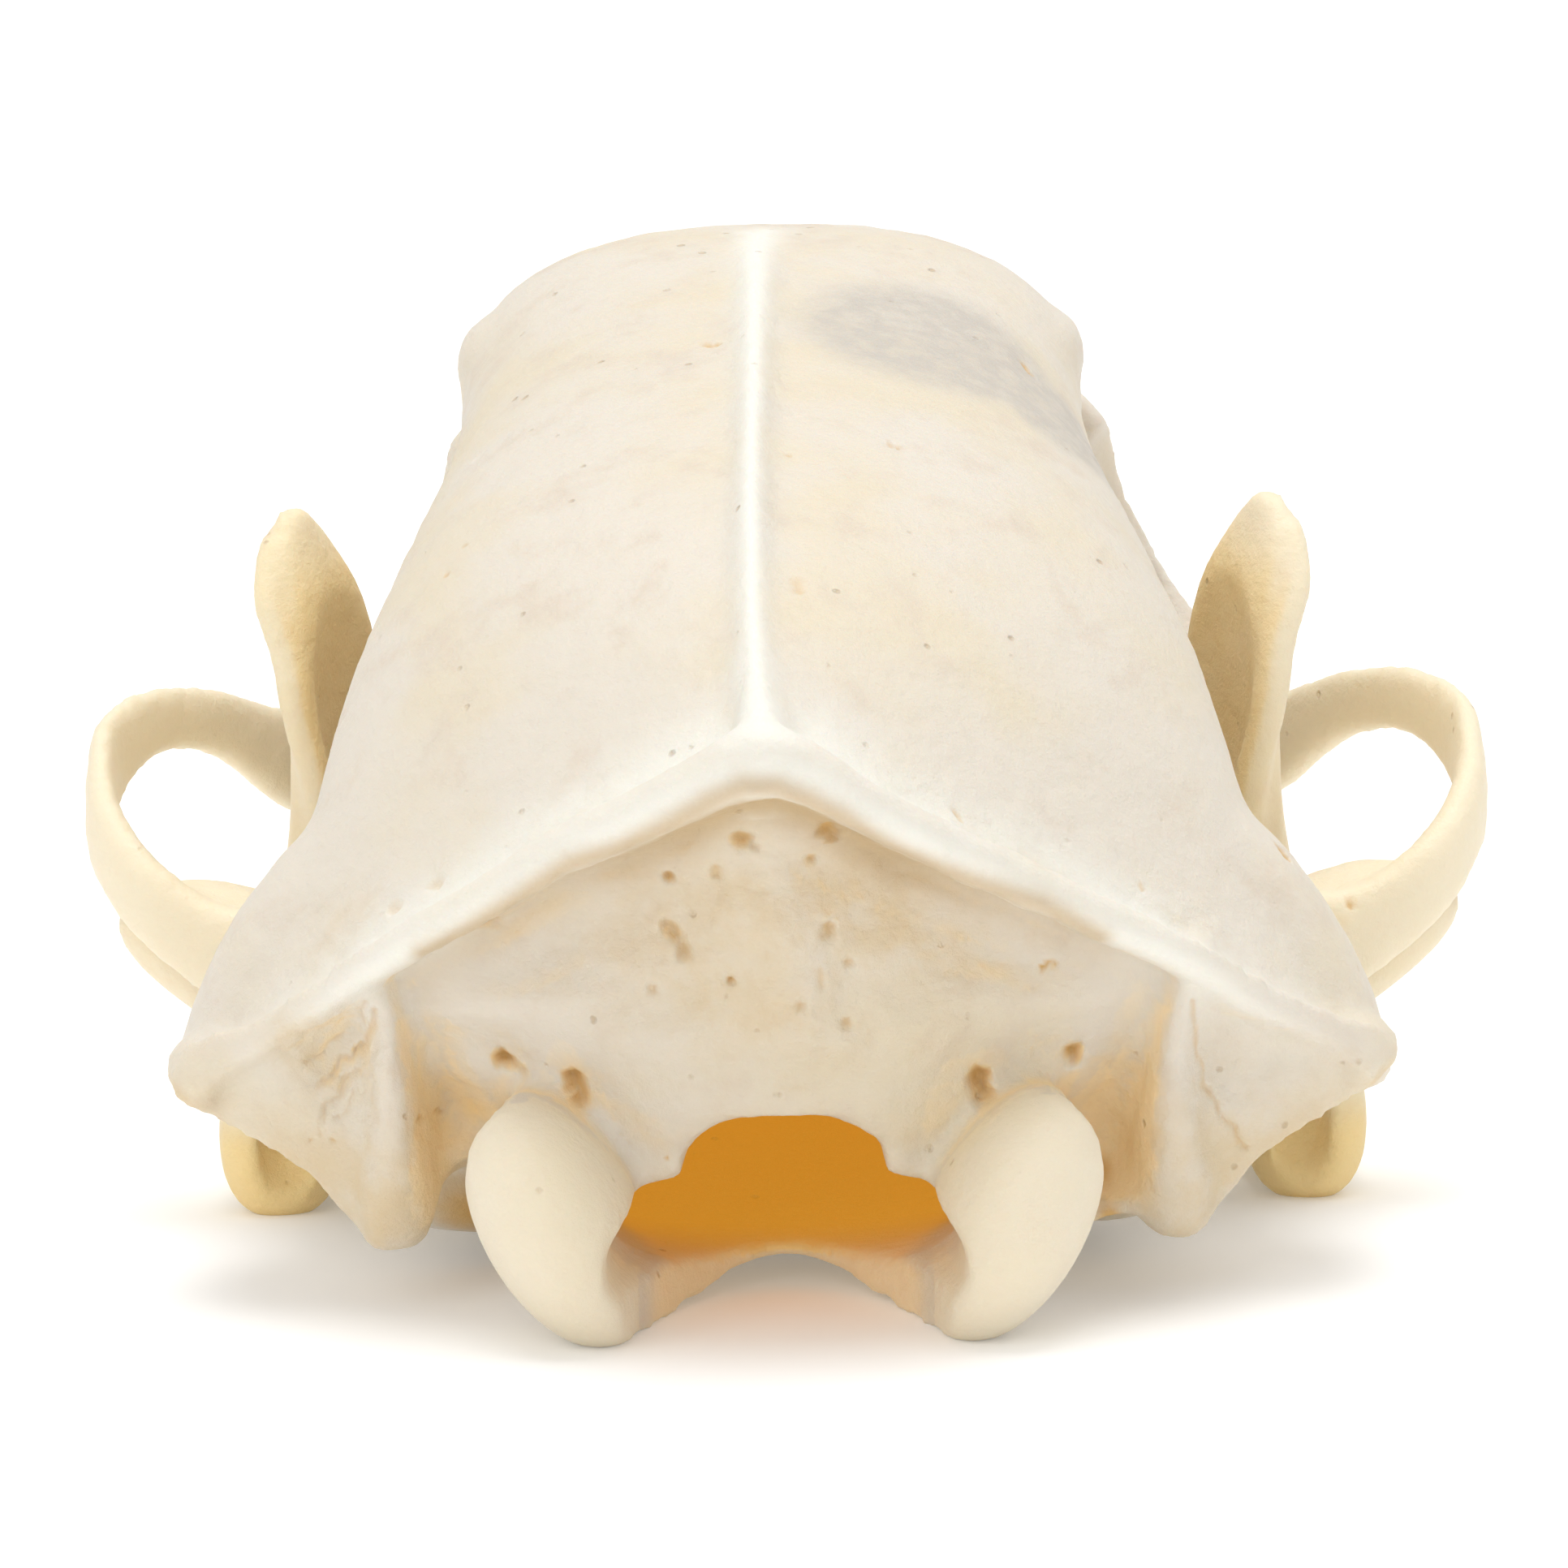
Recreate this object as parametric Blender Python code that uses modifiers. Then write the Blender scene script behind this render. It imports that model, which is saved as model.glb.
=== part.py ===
"""Skull of a striped skunk with its lower jaw closed, life size, as it rests on a table.

Sizes are in millimetres in the skull's own frame: x to the animal's right, y forward from the
back of the occipital condyles, z up from the gum line of the upper teeth. The whole skull is then
tipped nose up onto its condyles and jaw, and set on the floor.
"""

import math

import bmesh
import bpy
import numpy as np
from mathutils import Euler, Matrix, Vector

MM = 0.001
GAP = 0.3
REST_PITCH = math.radians(7.4)
REST_LEVEL = -4.53

# Sweep of the back of the skull: the crest's half width, how far forward its ends lie, how fast
# the sweep sets in, where it ends, how deep the bone lies under the crest and the right droop.
CREST_REACH = 19.4
CREST_BOW = 10.5
CREST_BOW_POWER = 1.3
CREST_FADES_AT = 22.0
OCCIPUT_RECESS = 4.4
CREST_DROOP = 0.9
# How far the arches and jaw, and the eye sockets, stand to the right, and where that begins.
SWAY = 0.5
ORBIT_SWAY = 1.9
SWAY_FROM = 60.0
# Thin cuts between the nodes.
SNOUT_CUT_Y = 42.9
SNOUT_CUT_LEAN = math.radians(-23.0)
ARCH_CUT = ((19.5, 28.35, 1.0), (27.0, 28.65, 9.0))

CRANIUM_VOXEL = 0.4
JAW_VOXEL = 0.34
CRANIUM_FACES = 6000
JAW_FACES = 1150
RING_POINTS = 40
TOOTH_POINTS = 7
LOOKS = {
    "braincase": ((0.86, 0.80, 0.69, 1.0), 0.55),
    "snout": ((0.87, 0.80, 0.68, 1.0), 0.5),
    "cheekbone_left": ((0.87, 0.78, 0.58, 1.0), 0.48),
    "cheekbone_right": ((0.87, 0.78, 0.58, 1.0), 0.48),
    "mandible_left": ((0.86, 0.76, 0.55, 1.0), 0.48),
    "mandible_right": ((0.86, 0.76, 0.55, 1.0), 0.48),
}

# Braincase and face: y, half width, top, height of the widest line, bottom, and how square
# the upper and the lower half of the section are.
VAULT = (
    (0.0, 19.4, 14.9, 1.3, -4.3, 1.08, 1.5),
    (0.9, 19.1, 14.9, 1.3, -4.3, 1.09, 1.5),
    (2.4, 18.4, 14.9, 1.6, -4.4, 1.16, 1.5),
    (6.0, 17.2, 15.9, 3.2, -4.6, 1.36, 1.6),
    (10.0, 15.6, 17.0, 6.0, -4.8, 1.68, 2.0),
    (15.0, 14.6, 18.2, 8.5, -4.6, 1.95, 2.4),
    (20.0, 13.9, 19.1, 9.9, -4.0, 2.08, 2.5),
    (27.0, 12.5, 20.0, 11.6, -2.8, 2.15, 2.2),
    (33.0, 11.3, 20.5, 13.0, -1.0, 2.2, 1.8),
    (38.0, 10.7, 20.9, 14.2, 0.5, 2.35, 1.5),
    (42.0, 10.7, 21.1, 15.0, 1.0, 2.5, 1.4),
    (46.0, 10.4, 20.65, 14.4, 1.2, 2.5, 1.4),
    (50.0, 9.9, 19.2, 12.0, 0.4, 2.4, 1.6),
    (53.0, 9.5, 17.4, 9.4, 0.0, 2.35, 2.1),
    (58.0, 8.7, 14.0, 6.2, -0.2, 2.3, 2.6),
    (62.0, 7.7, 11.8, 4.6, -0.2, 2.3, 2.6),
    (65.5, 6.8, 9.8, 3.8, -0.2, 2.2, 2.4),
    (68.0, 5.2, 6.4, 2.8, 0.0, 2.1, 2.2),
    (69.6, 3.2, 3.2, 1.8, 0.6, 2.0, 2.0),
)
# The back of the skull inside the crest: how much of the crest's outline, and how far forward.
OCCIPUT_DISH = ((0.985, -0.25), (0.95, -0.45), (0.905, -0.2), (0.87, 0.6), (0.83, 1.7), (0.77, 2.6),
                (0.6, 3.2), (0.4, 3.4), (0.2, 3.5))
# Flare above the ear, from the mastoid to the root of the cheek arch: the same columns, with
# the half width counted from a line beside the middle of the skull.
EAR_FLARE_X = 9.5
EAR_FLARE = (
    (10.4, 8.8, 7.0, 0.6, -0.8, 1.5, 1.5),
    (12.6, 9.9, 10.4, 0.0, -1.5, 1.65, 1.4),
    (15.0, 9.9, 11.0, -0.4, -2.2, 1.7, 1.4),
    (18.0, 9.2, 10.0, 0.0, -2.4, 1.8, 1.5),
    (22.0, 8.2, 8.2, 1.4, -1.0, 1.8, 1.6),
    (24.4, 6.0, 6.0, 2.6, 1.0, 2.0, 2.0),
)
# Brain cavity: the same columns as the vault.
BRAIN_CAVITY = (
    (7.0, 5.8, 3.5, -1.5, -4.0, 2.0, 3.0),
    (9.5, 7.5, 10.3, 2.5, -4.3, 2.0, 3.0),
    (11.2, 9.6, 13.2, 4.3, -4.4, 2.0, 2.8),
    (13.6, 11.9, 15.7, 6.2, -4.4, 2.0, 2.8),
    (18.0, 12.4, 17.4, 8.4, -3.7, 2.1, 2.6),
    (24.0, 11.4, 18.4, 10.2, -2.2, 2.1, 2.2),
    (30.0, 9.9, 19.0, 11.8, 2.6, 2.1, 1.8),
    (35.0, 8.6, 18.8, 13.0, 6.2, 2.1, 1.6),
    (39.0, 6.6, 17.4, 13.4, 9.2, 2.0, 1.6),
    (41.5, 3.4, 15.4, 13.2, 11.0, 2.0, 2.0),
)
# Upper jaw bone round the palate: the same columns.
MAXILLA = (
    (42.2, 6.0, 3.6, 1.6, 0.2, 2.2, 2.6),
    (43.2, 11.4, 4.0, 1.6, 0.0, 2.2, 3.0),
    (46.5, 13.8, 4.6, 1.8, 0.0, 2.2, 3.2),
    (50.0, 12.8, 5.6, 2.0, 0.0, 2.2, 3.2),
    (54.0, 10.9, 6.4, 2.2, 0.0, 2.2, 3.2),
    (58.0, 9.3, 6.6, 2.4, 0.0, 2.2, 3.2),
    (62.0, 8.1, 7.0, 2.6, 0.0, 2.2, 3.2),
    (65.0, 6.9, 6.6, 2.6, 0.0, 2.2, 3.0),
    (68.0, 5.2, 4.6, 2.2, 0.0, 2.2, 2.8),
    (69.8, 3.2, 2.8, 1.6, 0.4, 2.0, 2.4),
)
# Cheekbone ribbon: x, y, height of its middle, half thickness, half height.
ARCH = (
    (9.0, 51.6, 3.2, 1.5, 2.0),
    (12.4, 48.4, 2.9, 1.4, 2.1),
    (14.8, 45.6, 2.6, 1.0, 2.0),
    (17.0, 42.6, 2.4, 0.75, 2.0),
    (19.6, 38.8, 4.95, 0.65, 1.3),
    (21.6, 35.3, 6.0, 0.65, 1.25),
    (22.8, 31.7, 5.7, 0.65, 1.75),
    (22.9, 28.6, 4.9, 0.75, 2.1),
    (22.5, 26.2, 4.2, 0.8, 1.8),
    (21.1, 24.0, 2.8, 0.85, 1.9),
    (18.4, 22.9, 1.1, 0.85, 2.1),
    (15.5, 22.4, 1.2, 1.0, 2.6),
    (12.5, 22.0, 1.8, 1.3, 3.0),
    (9.8, 21.6, 3.6, 1.6, 2.6),
)
# Hinge of the lower jaw: inner and outer end of its round bar.
HINGE = ((13.8, 24.4, -3.6), (21.5, 26.4, 1.8))
HINGE_RADIUS = 1.4
# Jaw body: x, y, height of its middle, half thickness, half height.
JAW_BODY = (
    (0.9, 67.4, -6.3, 0.9, 1.3),
    (1.6, 66.4, -6.9, 1.7, 2.0),
    (2.2, 64.2, -7.3, 2.2, 2.5),
    (2.6, 61.5, -7.6, 2.3, 2.8),
    (3.5, 58.5, -7.8, 2.0, 2.9),
    (5.1, 55.5, -7.9, 1.8, 3.0),
    (7.5, 51.5, -7.9, 1.8, 3.0),
    (9.3, 47.5, -7.8, 1.9, 3.0),
    (11.1, 43.5, -7.6, 1.9, 2.9),
    (12.9, 39.5, -7.0, 1.8, 2.9),
    (14.5, 35.5, -6.2, 1.6, 2.8),
    (15.6, 31.5, -5.6, 1.4, 2.6),
    (16.0, 27.5, -5.4, 1.2, 2.3),
    (16.1, 24.6, -5.6, 0.9, 1.9),
)
# Ramus and coronoid blade: height, x and y of the middle, half length, half thickness.
JAW_BLADE = (
    (-7.4, 15.9, 30.6, 4.4, 1.1),
    (-4.0, 15.8, 30.4, 5.4, 1.2),
    (0.0, 15.6, 31.4, 4.2, 1.1),
    (4.0, 15.35, 31.6, 3.7, 0.95),
    (8.0, 15.1, 31.4, 3.5, 0.8),
    (11.0, 15.4, 31.2, 2.9, 0.7),
    (13.2, 16.1, 31.3, 1.9, 0.6),
    (14.4, 16.4, 31.4, 0.8, 0.4),
)
BLADE_YAW = math.radians(20.0)
ORBIT_YAW = math.radians(35.0)
# Raised back edge of the ramus: the same columns.
JAW_RIM = (
    (0.0, 16.0, 28.3, 0.9, 0.8),
    (3.4, 15.9, 28.2, 0.8, 0.7),
    (5.4, 15.9, 28.0, 0.75, 0.6),
    (8.3, 16.15, 28.0, 0.75, 0.6),
    (10.2, 16.45, 28.5, 0.8, 0.6),
    (12.0, 17.0, 29.4, 0.9, 0.6),
    (13.8, 16.9, 30.6, 0.7, 0.5),
)
# Scoop at the angle of the jaw: x, y, height of its middle, half thickness, half height.
ANGLE_SCOOP = (
    (16.9, 22.4, -5.4, 1.2, 1.7),
    (17.0, 23.6, -5.3, 1.85, 2.6),
    (17.0, 26.5, -5.2, 1.9, 2.6),
    (16.7, 30.0, -5.0, 1.5, 2.4),
    (16.2, 33.0, -4.9, 1.1, 2.0),
)
ANGLE_HOLLOW = (
    (17.1, 20.0, -4.7, 1.15, 2.3),
    (17.1, 24.0, -4.7, 1.15, 2.3),
    (17.3, 27.5, -4.7, 0.9, 2.1),
    (17.4, 30.0, -4.7, 0.5, 1.4),
)

# Simple teeth of one side: name, x, y at the gum, length along the jaw, width, height, and how
# far the tip leans forward and outward.
UPPER_TEETH = (
    ("i1", 1.05, 68.9, 1.5, 1.5, 2.4, -0.2, 0.0),
    ("i2", 2.45, 68.5, 1.6, 1.5, 2.6, -0.2, 0.0),
    ("i3", 3.95, 67.6, 1.9, 1.7, 3.3, -0.3, 0.1),
    ("c", 6.1, 62.7, 3.7, 2.6, 7.8, -1.8, 0.4),
    ("p2", 7.1, 59.5, 2.3, 1.6, 1.9, 0.2, 0.0),
    ("p3", 8.2, 56.9, 3.2, 2.1, 2.8, 0.3, 0.1),
)
LOWER_TEETH = (
    ("i1", 0.75, 66.9, 0.9, 1.0, 1.9, 0.2, 0.0),
    ("i2", 1.75, 66.7, 1.0, 1.0, 2.1, 0.2, 0.0),
    ("i3", 2.7, 66.2, 1.1, 1.1, 2.3, 0.2, 0.2),
    ("c", 3.7, 64.8, 2.9, 2.3, 4.4, 0.9, 1.3),
    ("p2", 3.9, 61.6, 1.9, 1.4, 1.4, 0.2, 0.0),
    ("p3", 4.4, 59.3, 2.3, 1.5, 1.9, 0.2, 0.0),
    ("p4", 5.5, 56.4, 3.0, 1.8, 2.5, 0.2, 0.0),
    ("m2", 11.1, 43.9, 2.2, 2.0, 1.1, 0.0, 0.0),
)
# Low bodies and cusps of the grinding teeth: x, y, length, width, height.
CARNASSIAL_UPPER = ((10.6, 52.6, 6.6, 3.0, 1.6), (9.4, 54.4, 2.6, 3.6, 1.3),
                    (10.6, 53.6, 2.8, 2.2, 4.2), (11.4, 50.8, 3.0, 2.0, 3.0))
MOLAR_UPPER = ((11.0, 46.6, 5.6, 6.6, 1.5), (13.0, 47.8, 2.2, 2.2, 2.3),
               (12.8, 45.5, 2.2, 2.2, 2.2), (9.2, 46.2, 3.2, 2.4, 1.9))
CARNASSIAL_LOWER = ((8.4, 50.0, 9.4, 2.7, 1.5), (7.3, 53.0, 2.6, 1.8, 3.1),
                    (8.0, 51.0, 2.6, 2.0, 3.7), (9.6, 47.2, 2.6, 1.6, 2.0))
CARNASSIAL_YAW = math.radians(24.0)
ROW_YAW = {"i": -1.0, "c": 0.1, "p": 0.35, "m": 0.4}
GUM_SINK = 0.7
LOWER_GUM = -5.1


def hermite(table, steps):
    """Rows of a table read off smooth curves through its rows, evenly in its row number."""
    table = np.array(table, float)
    count = len(table)
    slopes = np.gradient(table, axis=0)
    rows = []
    for t in np.linspace(0, count - 1, steps):
        i = min(int(t), count - 2)
        f = t - i
        rows.append(
            (2 * f**3 - 3 * f**2 + 1) * table[i]
            + (f**3 - 2 * f**2 + f) * slopes[i]
            + (3 * f**2 - 2 * f**3) * table[i + 1]
            + (f**3 - f**2) * slopes[i + 1]
        )
    return rows


def oval(centre, side, up, down, square_up=2.0, square_down=2.0, points=RING_POINTS):
    """Ring of points on a superellipse whose upper and lower halves differ."""
    ring = []
    for k in range(points):
        angle = 2 * math.pi * k / points
        c, s = math.cos(angle), math.sin(angle)
        power = 2 / (square_up if s >= 0 else square_down)
        across = math.copysign(abs(c) ** power, c)
        along = math.copysign(abs(s) ** power, s)
        ring.append(centre + side * across + (up if s >= 0 else down) * along)
    return ring


def new_object(name, mesh):
    piece = bpy.data.objects.new(name, mesh)
    bpy.context.scene.collection.objects.link(piece)
    return piece


def loft(name, rings):
    """Closed skin over a row of rings, with a flat end on the first and the last."""
    bm = bmesh.new()
    rows = [[bm.verts.new(p * MM) for p in ring] for ring in rings]
    count = len(rows[0])
    for a, b in zip(rows, rows[1:]):
        for k in range(count):
            bm.faces.new((a[k], a[(k + 1) % count], b[(k + 1) % count], b[k]))
    for end in (rows[0], rows[-1]):
        middle = bm.verts.new(sum((v.co for v in end), Vector()) / count)
        for k in range(count):
            bm.faces.new((end[k], end[(k + 1) % count], middle))
    bmesh.ops.recalc_face_normals(bm, faces=bm.faces)
    mesh = bpy.data.meshes.new(name)
    bm.to_mesh(mesh)
    bm.free()
    return new_object(name, mesh)


def body(name, table, steps, points=RING_POINTS):
    """Loft along the skull from a table of section sizes."""
    rings = []
    for y, half, top, wide, bottom, upper, lower in hermite(table, steps):
        centre = Vector((0, y, wide))
        up, down = Vector((0, 0, top - wide)), Vector((0, 0, wide - bottom))
        rings.append(oval(centre, Vector((half, 0, 0)), up, down, upper, lower, points))
    return loft(name, rings)


def ribbon(name, table, steps, points=16, square=2.4):
    """Upright bar that follows a curve seen from above: x, y, z, half thickness, half height."""
    rows = np.array(hermite(table, steps))
    forward = np.gradient(rows[:, :2], axis=0)
    rings = []
    for (x, y, z, thick, high), (dx, dy) in zip(rows, forward):
        side = Vector((dy, -dx, 0)).normalized() * thick
        up = Vector((0, 0, high))
        rings.append(oval(Vector((x, y, z)), side, up, up, square, square, points))
    return loft(name, rings)


def column(name, table, steps, yaw=0.0, points=16, square=2.2):
    """Upright blade or horn: z, x, y, half length along its yaw, half thickness."""
    along = Vector((-math.sin(yaw), math.cos(yaw), 0))
    across = Vector((math.cos(yaw), math.sin(yaw), 0))
    rings = []
    for z, x, y, half, thick in hermite(table, steps):
        rings.append(
            oval(Vector((x, y, z)), across * thick, along * half, along * half, square, square, points)
        )
    return loft(name, rings)


def ball(name, centre, radii, turn=(0, 0, 0), segments=24):
    """Ellipsoid, turned by degrees about x, y and z."""
    bpy.ops.mesh.primitive_uv_sphere_add(segments=segments, ring_count=segments // 2, radius=1)
    piece = bpy.context.object
    piece.name = name
    spin = Euler([math.radians(a) for a in turn]).to_matrix().to_4x4()
    stretch = Matrix.Diagonal((*[r * MM for r in radii], 1))
    piece.data.transform(Matrix.Translation(Vector(centre) * MM) @ spin @ stretch)
    return piece


def tube(name, start, end, radius, points=16):
    """Round bar between two points."""
    start, end = Vector(start), Vector(end)
    axis = end - start
    bpy.ops.mesh.primitive_cylinder_add(vertices=points, radius=radius * MM, depth=axis.length * MM)
    piece = bpy.context.object
    piece.name = name
    turn = axis.to_track_quat("Z", "Y").to_matrix().to_4x4()
    piece.data.transform(Matrix.Translation((start + end) / 2 * MM) @ turn)
    return piece


def box(name, low, high):
    """Block between two corners."""
    bpy.ops.mesh.primitive_cube_add(size=1)
    piece = bpy.context.object
    piece.name = name
    low, high = Vector(low), Vector(high)
    size = high - low
    stretch = Matrix.Diagonal((*(size * MM), 1))
    piece.data.transform(Matrix.Translation((low + high) / 2 * MM) @ stretch)
    return piece


def twin(right, name):
    """The left side's copy of a piece of the right side."""
    left = new_object(name, right.data.copy())
    left.data.transform(Matrix.Diagonal((-1, 1, 1, 1)))
    left.data.flip_normals()
    return left


def mirrored(make):
    """A piece of the right side and its twin on the left."""
    right = make()
    return [right, twin(right, right.name + "_left")]


def swayed(pieces, sway=SWAY):
    """Both sides of the arches and the jaw sit a little to the right, more so at the back."""
    for piece in pieces:
        for vert in piece.data.vertices:
            vert.co.x += sway * max(0.0, 1 - vert.co.y / (SWAY_FROM * MM)) * MM
    return pieces


def apply_modifiers(piece):
    depsgraph = bpy.context.evaluated_depsgraph_get()
    mesh = bpy.data.meshes.new_from_object(piece.evaluated_get(depsgraph))
    piece.modifiers.clear()
    piece.data = mesh


def boolean(piece, others, operation, solver="EXACT"):
    """Joins, cuts or keeps the common part of a piece and a collection of others, which go."""
    group = bpy.data.collections.new(piece.name + "_others")
    for other in others:
        group.objects.link(other)
    step = piece.modifiers.new(operation, "BOOLEAN")
    step.operation = operation
    step.operand_type = "COLLECTION"
    step.collection = group
    step.solver = solver
    apply_modifiers(piece)
    for other in others:
        bpy.data.objects.remove(other)
    bpy.data.collections.remove(group)


def loose_groups(mesh):
    """Face numbers of each closed surface of a mesh, largest surface first."""
    bm = bmesh.new()
    bm.from_mesh(mesh)
    bm.faces.ensure_lookup_table()
    seen, groups = set(), []
    for face in bm.faces:
        if face.index in seen:
            continue
        group, front, area = [], [face], 0.0
        seen.add(face.index)
        while front:
            here = front.pop()
            group.append(here.index)
            area += here.calc_area()
            for edge in here.edges:
                for near in edge.link_faces:
                    if near.index not in seen:
                        seen.add(near.index)
                        front.append(near)
        groups.append((area, group))
    bm.free()
    groups.sort(key=lambda g: -g[0])
    return [group for _, group in groups]


def keep_faces(mesh, numbers):
    """Leaves only the numbered faces of a mesh."""
    bm = bmesh.new()
    bm.from_mesh(mesh)
    keep = set(numbers)
    bmesh.ops.delete(bm, geom=[f for f in bm.faces if f.index not in keep], context="FACES")
    bm.to_mesh(mesh)
    bm.free()


def keep_largest(piece):
    """Leaves only the largest closed surface of a piece."""
    keep_faces(piece.data, loose_groups(piece.data)[0])


def soften(piece, voxel, rounds, faces):
    """Grows the joined forms into one another as bone does, then thins the mesh."""
    remesh = piece.modifiers.new("Grow", "REMESH")
    remesh.mode = "VOXEL"
    remesh.voxel_size = voxel * MM
    smooth = piece.modifiers.new("Round", "SMOOTH")
    smooth.factor = 0.5
    smooth.iterations = rounds
    apply_modifiers(piece)
    keep_largest(piece)
    triangles = sum(len(p.vertices) - 2 for p in piece.data.polygons)
    thin = piece.modifiers.new("Thin", "DECIMATE")
    thin.ratio = min(1.0, faces / triangles)
    thin.use_symmetry = False
    apply_modifiers(piece)


def split(piece, plates, names):
    """Parts a piece with thin plates into as many pieces as it has names, largest first."""
    boolean(piece, plates, "DIFFERENCE")
    for name, group in zip(names, loose_groups(piece.data)):
        part = new_object(name, piece.data.copy())
        keep_faces(part.data, group)
    bpy.data.objects.remove(piece)


def bow_back(piece):
    """Sweeps the back of the braincase forward at its sides and below the crest.

    The crest's right half hangs a little lower than its left."""
    for vert in piece.data.vertices:
        x, y, z = vert.co / MM
        fade = max(0.0, 1 - y / CREST_FADES_AT)
        bow = CREST_BOW * (abs(x) / CREST_REACH) ** CREST_BOW_POWER
        below = min(max((3.5 - z) / 4.5, 0.0), 1.0)
        middle = max(0.0, 1 - (abs(x) / 14.0) ** 4)
        recess = OCCIPUT_RECESS * below * below * (3 - 2 * below) * middle
        vert.co.y += (bow + recess) * fade * MM
        droop = CREST_DROOP * math.sin(math.pi * min(max(x, 0.0) / 15.0, 1.0))
        vert.co.z -= droop * fade * fade * min(max((z - 2.0) / 5.0, 0.0), 1.0) * MM


def make_vault():
    rings = []
    _, half, top, _, bottom, square, _ = VAULT[0]
    for share, forward in reversed(OCCIPUT_DISH):
        centre = Vector((0, forward, 3.0))
        up, down = Vector((0, 0, (top - 3.0) * share)), Vector((0, 0, (3.0 - bottom) * share))
        rings.append(oval(centre, Vector((half * share, 0, 0)), up, down, square + 0.5 * (1 - share)))
    for y, half, top, wide, bottom, upper, lower in hermite(VAULT, 64):
        centre = Vector((0, y, wide))
        up, down = Vector((0, 0, top - wide)), Vector((0, 0, wide - bottom))
        rings.append(oval(centre, Vector((half, 0, 0)), up, down, upper, lower))
    vault = loft("cranium", rings)
    bow_back(vault)
    return vault


def skull_base():
    """Bones of the underside and of the middle of the back."""
    base = (
        (6.0, 8.0, 2.5, -2.0, -5.3, 2.0, 2.8),
        (12.0, 8.4, 3.0, -2.0, -5.7, 2.0, 3.2),
        (22.0, 7.6, 4.0, -1.5, -4.8, 2.0, 3.0),
        (34.0, 5.4, 6.0, 0.0, -1.4, 2.0, 3.0),
        (41.6, 4.6, 8.0, 3.0, 1.4, 2.0, 3.0),
    )
    crest = (
        (0, 0.3, 14.3, 0.75, 1.0),
        (0, 6, 15.4, 0.6, 0.95),
        (0, 14, 17.6, 0.55, 0.9),
        (0, 24, 19.3, 0.55, 0.8),
        (0, 33, 20.2, 0.7, 0.6),
        (0, 39, 20.3, 1.1, 0.5),
    )
    return [
        body("basioccipital", base, 16, 24),
        ball("vermis_bulge", (0, 7.6, 4.6), (8.6, 3.6, 7.4)),
        ball("occipital_ring", (0, 8.0, -0.9), (8.4, 3.6, 4.4)),
        ribbon("sagittal_crest", crest, 24, 8),
    ]


def ear_flare():
    flare = body("ear_flare", EAR_FLARE, 20, 32)
    flare.data.transform(Matrix.Translation(Vector((EAR_FLARE_X, 0, 0)) * MM))
    return flare


def orbit_front():
    """Thin front wall of the eye socket, down to the cheek."""
    wall = (
        (1.0, 12.2, 49.4, 4.0, 1.6),
        (3.4, 12.9, 49.2, 4.2, 1.6),
        (5.4, 12.7, 49.2, 4.2, 1.6),
        (7.6, 12.0, 49.2, 4.0, 1.5),
        (9.6, 11.1, 49.3, 3.8, 1.4),
        (12.0, 10.0, 49.4, 3.4, 1.2),
        (14.0, 8.8, 49.4, 2.6, 1.0),
    )
    return column("orbit_front", wall, 16, ORBIT_YAW, 14)


def paired_bones():
    """Knobs, plates and arches that both sides have."""
    paroccipital = (
        (6.0, 12.4, 8.8, 2.6, 2.2),
        (2.0, 12.6, 8.8, 2.6, 2.6),
        (-1.5, 12.6, 8.5, 2.2, 2.4),
        (-2.8, 12.5, 8.3, 1.5, 1.7),
        (-3.6, 12.4, 8.3, 0.7, 0.8),
    )
    pterygoid = (
        (4.9, 42.0, 1.6, 1.1, 3.0),
        (4.5, 37.0, -0.4, 0.9, 3.0),
        (4.3, 32.0, -1.8, 0.8, 2.6),
        (4.2, 28.6, -3.6, 0.6, 1.2),
    )
    makers = [
        ear_flare,
        lambda: ball("condyle", (6.9, 4.1, -1.0), (2.6, 4.0, 4.7), (0, 23, 0)),
        lambda: column("paroccipital", paroccipital, 8),
        lambda: ball("mastoid", (16.9, 11.3, 2.2), (2.6, 3.0, 1.7)),
        lambda: ball("bulla", (9.6, 18.2, -2.7), (4.4, 6.2, 3.3), (0, 0, 18)),
        lambda: ball("meatus_lip", (14.2, 17.4, 0.9), (3.4, 3.0, 2.8)),
        lambda: ribbon("pterygoid", pterygoid, 14, 10),
        lambda: ball("postorbital", (9.4, 42.2, 16.9), (1.9, 2.4, 1.3), (0, 24, 0)),
    ]
    pairs = [piece for make in makers for piece in mirrored(make)]
    return pairs + swayed(mirrored(orbit_front), ORBIT_SWAY)


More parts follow.
